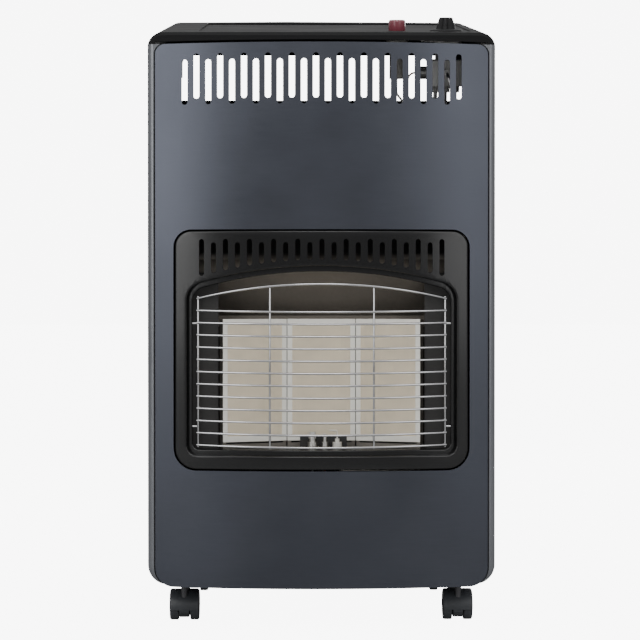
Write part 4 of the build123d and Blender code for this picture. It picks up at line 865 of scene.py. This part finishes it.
class HEATER_OT_casters(HeaterOperator):
    """Make the four twin-wheel casters."""

    bl_idname = "heater.casters"
    bl_label = "Casters"

    def wheels(self, corner):
        """A pair of dished wheels on an axle."""
        low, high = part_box(corner + "_caster_wheels")
        centre = (low + high) / 2
        bm = bmesh.new()
        for side in (-1, 1):
            profile = [(r * MM, side * (WHEEL_INNER + h) * MM) for r, h in WHEEL_PROFILE]
            lathe(bm, profile, centre, 48, "X")
        reach = Vector((AXLE_REACH, 0, 0))
        rod(bm, centre - reach, centre + reach, AXLE_RADIUS, 16)
        wheels = corner + "_caster_wheels"
        piece(corner + "_wheel_pair", bm, finish("wheel_plastic"), corner + "_wheels", (wheels,))

    def shell(self, bm, centre):
        """The hood's arched shell over the wheels."""
        foot = HOOD_RADIUS - 5 * MM
        under = HOOD_RADIUS - HOOD_WALL
        brow = [
            (HOOD_HALF, foot),
            (HOOD_HALF, HOOD_RADIUS - 2.2 * MM),
            (HOOD_HALF - 0.7 * MM, HOOD_RADIUS - 0.7 * MM),
            (HOOD_HALF - 2.4 * MM, HOOD_RADIUS),
        ]
        lining = [(HOOD_HALF - 0.6 * MM, under), (HOOD_HALF - 0.5 * MM, foot)]
        section = brow + mirrored(brow) + mirrored(lining) + lining
        verts = [bm.verts.new((x, 0, r)) for x, r in section]
        face = bm.faces.new(verts)
        bmesh.ops.rotate(bm, verts=verts, cent=(0, 0, 0), matrix=Matrix.Rotation(radians(-100), 3, "X"))
        geom = verts + face.edges[:] + [face]
        bmesh.ops.spin(
            bm, geom=geom, cent=(0, 0, 0), axis=(1, 0, 0), dvec=(0, 0, 0), angle=radians(200),
            steps=36, use_merge=False, use_duplicate=False,
        )
        bmesh.ops.translate(bm, verts=bm.verts[:], vec=centre)
        for v in bm.verts:
            v.co.z = min(v.co.z, HOOD_TOP)

    def web(self, bm, centre):
        """The plate between the wheels, which joins the hood to the axle."""
        edge = arc(centre.y, centre.z, HOOD_RADIUS - 0.6 * MM, -20, 200, 30)
        edge += arc(centre.y, centre.z, 17 * MM, 218, 322, 12)
        edge = [(y, max(min(z, WEB_TOP), WEB_FOOT)) for y, z in edge]
        plate = bm.faces.new([bm.verts.new((centre.x - WEB_HALF, y, z)) for y, z in edge])
        out = bmesh.ops.extrude_face_region(bm, geom=[plate])["geom"]
        moved = [g for g in out if isinstance(g, bmesh.types.BMVert)]
        bmesh.ops.translate(bm, verts=moved, vec=(2 * WEB_HALF, 0, 0))

    def hood(self, corner):
        """A rounded hood with its web."""
        low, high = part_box(corner + "_caster_wheels")
        centre = (low + high) / 2
        bm = bmesh.new()
        self.shell(bm, centre)
        self.web(bm, centre)
        hood = corner + "_caster_hood"
        piece(corner + "_hood_moulding", bm, finish("wheel_plastic"), corner + "_caster", (hood,))

    def make(self):
        for corner in CORNERS:
            self.wheels(corner)
            self.hood(corner)
        softened("caster_stems", "caster_stem_pins", finish("dark_steel"), 0.4 * MM)


class HEATER_OT_burners(HeaterOperator):
    """Dress the three burners, the deflector and the shields."""

    bl_idname = "heater.burners"
    bl_label = "Burners"

    def make(self):
        for name, turn in PLAQUE_TURNS.items():
            softened(name + "_plaque", name + "_plaque_tile", plaque_ceramic(turn), 0.6 * MM, foot=FOOT_GAP)
            trim = finish("trim_steel")
            softened(name + "_plaque_frame", name + "_plaque_trim", trim, 0.25 * MM, foot=FOOT_GAP)
            softened(name + "_burner_casing", name + "_casing_pressing", finish("heat_steel"), 0.5 * MM)
        # the deflector's head is painted black with shade behind the arch
        softened("heat_deflector", "deflector_pressing", sooted_steel(), 0.5 * MM)
        softened("burner_shelf", "shelf_pressing", finish("dark_paint"), 0.4 * MM)
        softened("injector_bracket", "injector_bracket_pressing", finish("heat_steel"), 0.4 * MM)
        for side in ("left", "right"):
            softened(side + "_side_shield", side + "_shield_pressing", finish("dark_paint"), 0.4 * MM)
        softened("gas_injectors", "gas_injectors_turned", finish("brass_turned"), 0.3 * MM, sharp=50)


class HEATER_OT_pilot(HeaterOperator):
    """Dress the pilot group."""

    bl_idname = "heater.pilot"
    bl_label = "Pilot group"

    def make(self):
        softened("pilot_bracket", "pilot_bracket_pressing", finish("dark_paint"), 0.3 * MM)
        rounded_copies(finish("bright_steel"), "thermocouple_probe", "pilot_burner")
        rounded_copies(finish("glazed_ceramic"), "spark_electrode")


class HEATER_OT_gas(HeaterOperator):
    """Dress the valve, its pipes and the leads."""

    bl_idname = "heater.gas"
    bl_label = "Valve and pipes"

    def make(self):
        softened("gas_valve_body", "gas_valve_casting", finish("cast_alloy"), 0.8 * MM)
        rounded_copies(finish("brass_turned"), "valve_rotor", "inlet_hose_tail")
        rounded_copies(finish("bright_steel"), "valve_spindle")
        softened("valve_bracket", "valve_bracket_pressing", finish("bright_steel"), 0.4 * MM)
        pipes = ("left_gas_pipe", "middle_gas_pipe", "right_gas_pipe", "pilot_pipe")
        rounded_copies(finish("pipe_alloy"), *pipes)
        rounded_copies(finish("copper_lead"), "thermocouple_lead")
        rounded_copies(finish("cable_sheath"), "ignition_cable")
        rounded_copies(finish("pale_plastic"), "igniter_body", "igniter_nut")


class HEATER_OT_cabinet(HeaterOperator):
    """Dress the side panels, the base, the divider and the back."""

    bl_idname = "heater.cabinet"
    bl_label = "Cabinet"

    def make(self):
        for side in ("left", "right"):
            softened(side + "_side_panel", side + "_side_pressing", finish("side_paint"), 0.3 * MM)
        for node in ("base_tray", "rear_rail", "rear_cover"):
            softened(node, node + "_pressing", finish("grey_paint"), 0.4 * MM)
        softened("divider_panel", "divider_panel_pressing", finish("dark_paint"), 0.4 * MM)
        rounded_copies(finish("bright_steel"), "rear_cover_pins")
        softened("rear_cover_catches", "rear_cover_catch_moulding", finish("pale_plastic"), 0.4 * MM)


# ---------------------------------------------------------------- stage
class Lamp(NamedTuple):
    """A soft rectangular lamp that looks at a target."""

    place: tuple
    target: tuple
    size: tuple
    power: float


LAMPS = {
    "key_left": Lamp((-1.75, -2.45, 1.3), (0, 0, 0.45), (1.0, 2.1), 20),
    "fill_right": Lamp((1.65, -2.5, 1.3), (0, 0, 0.45), (0.8, 2.1), 11),
    "over": Lamp((0, -0.2, 2.8), (0, 0, 0), (2.0, 2.0), 18),
    "front_high": Lamp((0.0, -2.5, 2.3), (0, 0, 0.35), (1.0, 0.8), 15),
    "back_low": Lamp((1.6, 2.3, 0.9), (0, 0, 0.4), (1.0, 1.2), 18),
}
FLOOR_RADIUS = 30.0
FLOOR_GLOW = 0.05  # how bright the floor's own light is on the heater
SKY_LOW, SKY_HIGH = -0.04, 0.22  # heights, as shares of the studio, between which its light grows
SKY_DIM, SKY_BRIGHT = 0.05, 0.80
CAMERA_PLACE = (-0.030, -2.565, 0.394)
CAMERA_AIM = (-0.002, -0.165, 0.370)
CAMERA_LENS = 112


class HEATER_OT_stage(HeaterOperator):
    """Set the floor, the lights and the camera."""

    bl_idname = "heater.stage"
    bl_label = "Stage"

    def floor(self):
        """A wide pale floor, which the pale studio meets without a line."""
        bm = bmesh.new()
        bmesh.ops.create_circle(bm, cap_ends=True, segments=96, radius=FLOOR_RADIUS)
        mesh = bpy.data.meshes.new("pale_floor")
        bm.to_mesh(mesh)
        bm.free()
        obj = bpy.data.objects.new("pale_floor", mesh)
        bpy.context.scene.collection.objects.link(obj)
        material, tree, shader = node_tree("pale_floor")
        tint = tinted(tree, grain(tree, 3.0), (0.34, 0.34, 0.34), (0.36, 0.36, 0.36))
        tree.links.new(tint, shader.inputs["Base Color"])
        shader.inputs["Roughness"].default_value = 0.9
        shader.inputs["Specular IOR Level"].default_value = 0.1
        shader.inputs["Emission Color"].default_value = (1, 1, 1, 1)
        rays = tree.nodes.new("ShaderNodeLightPath")
        glow = spread(tree, rays.outputs["Is Camera Ray"], 0, 1, FLOOR_GLOW, PALE)
        tree.links.new(glow, shader.inputs["Emission Strength"])
        mesh.materials.append(material)

    def sky(self, tree):
        """A studio that is pale behind the heater, and lights it more from overhead than from low down."""
        where = tree.nodes.new("ShaderNodeTexCoord")
        split = tree.nodes.new("ShaderNodeSeparateXYZ")
        tree.links.new(where.outputs["Generated"], split.inputs["Vector"])
        rays = tree.nodes.new("ShaderNodeLightPath")
        mix = tree.nodes.new("ShaderNodeMix")
        tree.links.new(rays.outputs["Is Camera Ray"], mix.inputs["Factor"])
        light = spread(tree, split.outputs["Z"], SKY_LOW, SKY_HIGH, SKY_DIM, SKY_BRIGHT)
        tree.links.new(light, mix.inputs["A"])
        mix.inputs["B"].default_value = PALE
        shade = tree.nodes["Background"]
        shade.inputs["Color"].default_value = (1, 1, 1, 1)
        tree.links.new(mix.outputs["Result"], shade.inputs["Strength"])

    def lamp(self, name, lamp):
        """Hang a lamp."""
        data = bpy.data.lights.new(name, "AREA")
        data.shape = "RECTANGLE"
        data.size, data.size_y = lamp.size
        data.energy = lamp.power
        obj = bpy.data.objects.new(name, data)
        bpy.context.scene.collection.objects.link(obj)
        obj.location = lamp.place
        run = Vector(lamp.target) - Vector(lamp.place)
        obj.rotation_euler = run.to_track_quat("-Z", "Y").to_euler()

    def camera(self):
        """Stand the camera where the photo was taken from."""
        data = bpy.data.cameras.new("photo_camera")
        data.lens = CAMERA_LENS
        data.sensor_width = 36
        data.clip_start = 0.05
        camera = bpy.data.objects.new("photo_camera", data)
        bpy.context.scene.collection.objects.link(camera)
        camera.location = CAMERA_PLACE
        run = Vector(CAMERA_AIM) - camera.location
        camera.rotation_euler = run.to_track_quat("-Z", "Y").to_euler()
        bpy.context.scene.camera = camera

    def make(self):
        self.floor()
        world = bpy.data.worlds.new("studio")
        bpy.context.scene.world = world
        world.use_nodes = True
        self.sky(world.node_tree)
        for name, lamp in LAMPS.items():
            self.lamp(name, lamp)
        self.camera()


OPERATORS = (
    HEATER_OT_front,
    HEATER_OT_bezel,
    HEATER_OT_guard,
    HEATER_OT_top,
    HEATER_OT_controls,
    HEATER_OT_casters,
    HEATER_OT_burners,
    HEATER_OT_pilot,
    HEATER_OT_gas,
    HEATER_OT_cabinet,
    HEATER_OT_stage,
)


class HEATER_PT_panel(bpy.types.Panel):
    """The heater's operators and sizes."""

    bl_label = "Gas cabinet heater"
    bl_idname = "HEATER_PT_panel"
    bl_space_type = "VIEW_3D"
    bl_region_type = "UI"
    bl_category = "Heater"

    def draw(self, context):
        """List the sizes, the colours and the operators."""
        for name, group in GROUPS.items():
            box = self.layout.box()
            for key in group.__annotations__:
                box.prop(getattr(context.scene, name), key)
        for operator in OPERATORS:
            self.layout.operator(operator.bl_idname)


def register():
    """Register the classes and hang the sizes on the scene."""
    for cls in (*GROUPS.values(), *OPERATORS, HEATER_PT_panel):
        bpy.utils.register_class(cls)
    for name, group in GROUPS.items():
        setattr(bpy.types.Scene, name, PointerProperty(type=group))


def unregister():
    """Take the classes and the sizes away again."""
    for name in GROUPS:
        delattr(bpy.types.Scene, name)
    for cls in reversed((*GROUPS.values(), *OPERATORS, HEATER_PT_panel)):
        bpy.utils.unregister_class(cls)


def main():
    """Make every piece and the stage."""
    register()
    for operator in OPERATORS:
        group, name = operator.bl_idname.split(".")
        getattr(getattr(bpy.ops, group), name)()


if __name__ == "__main__":
    main()
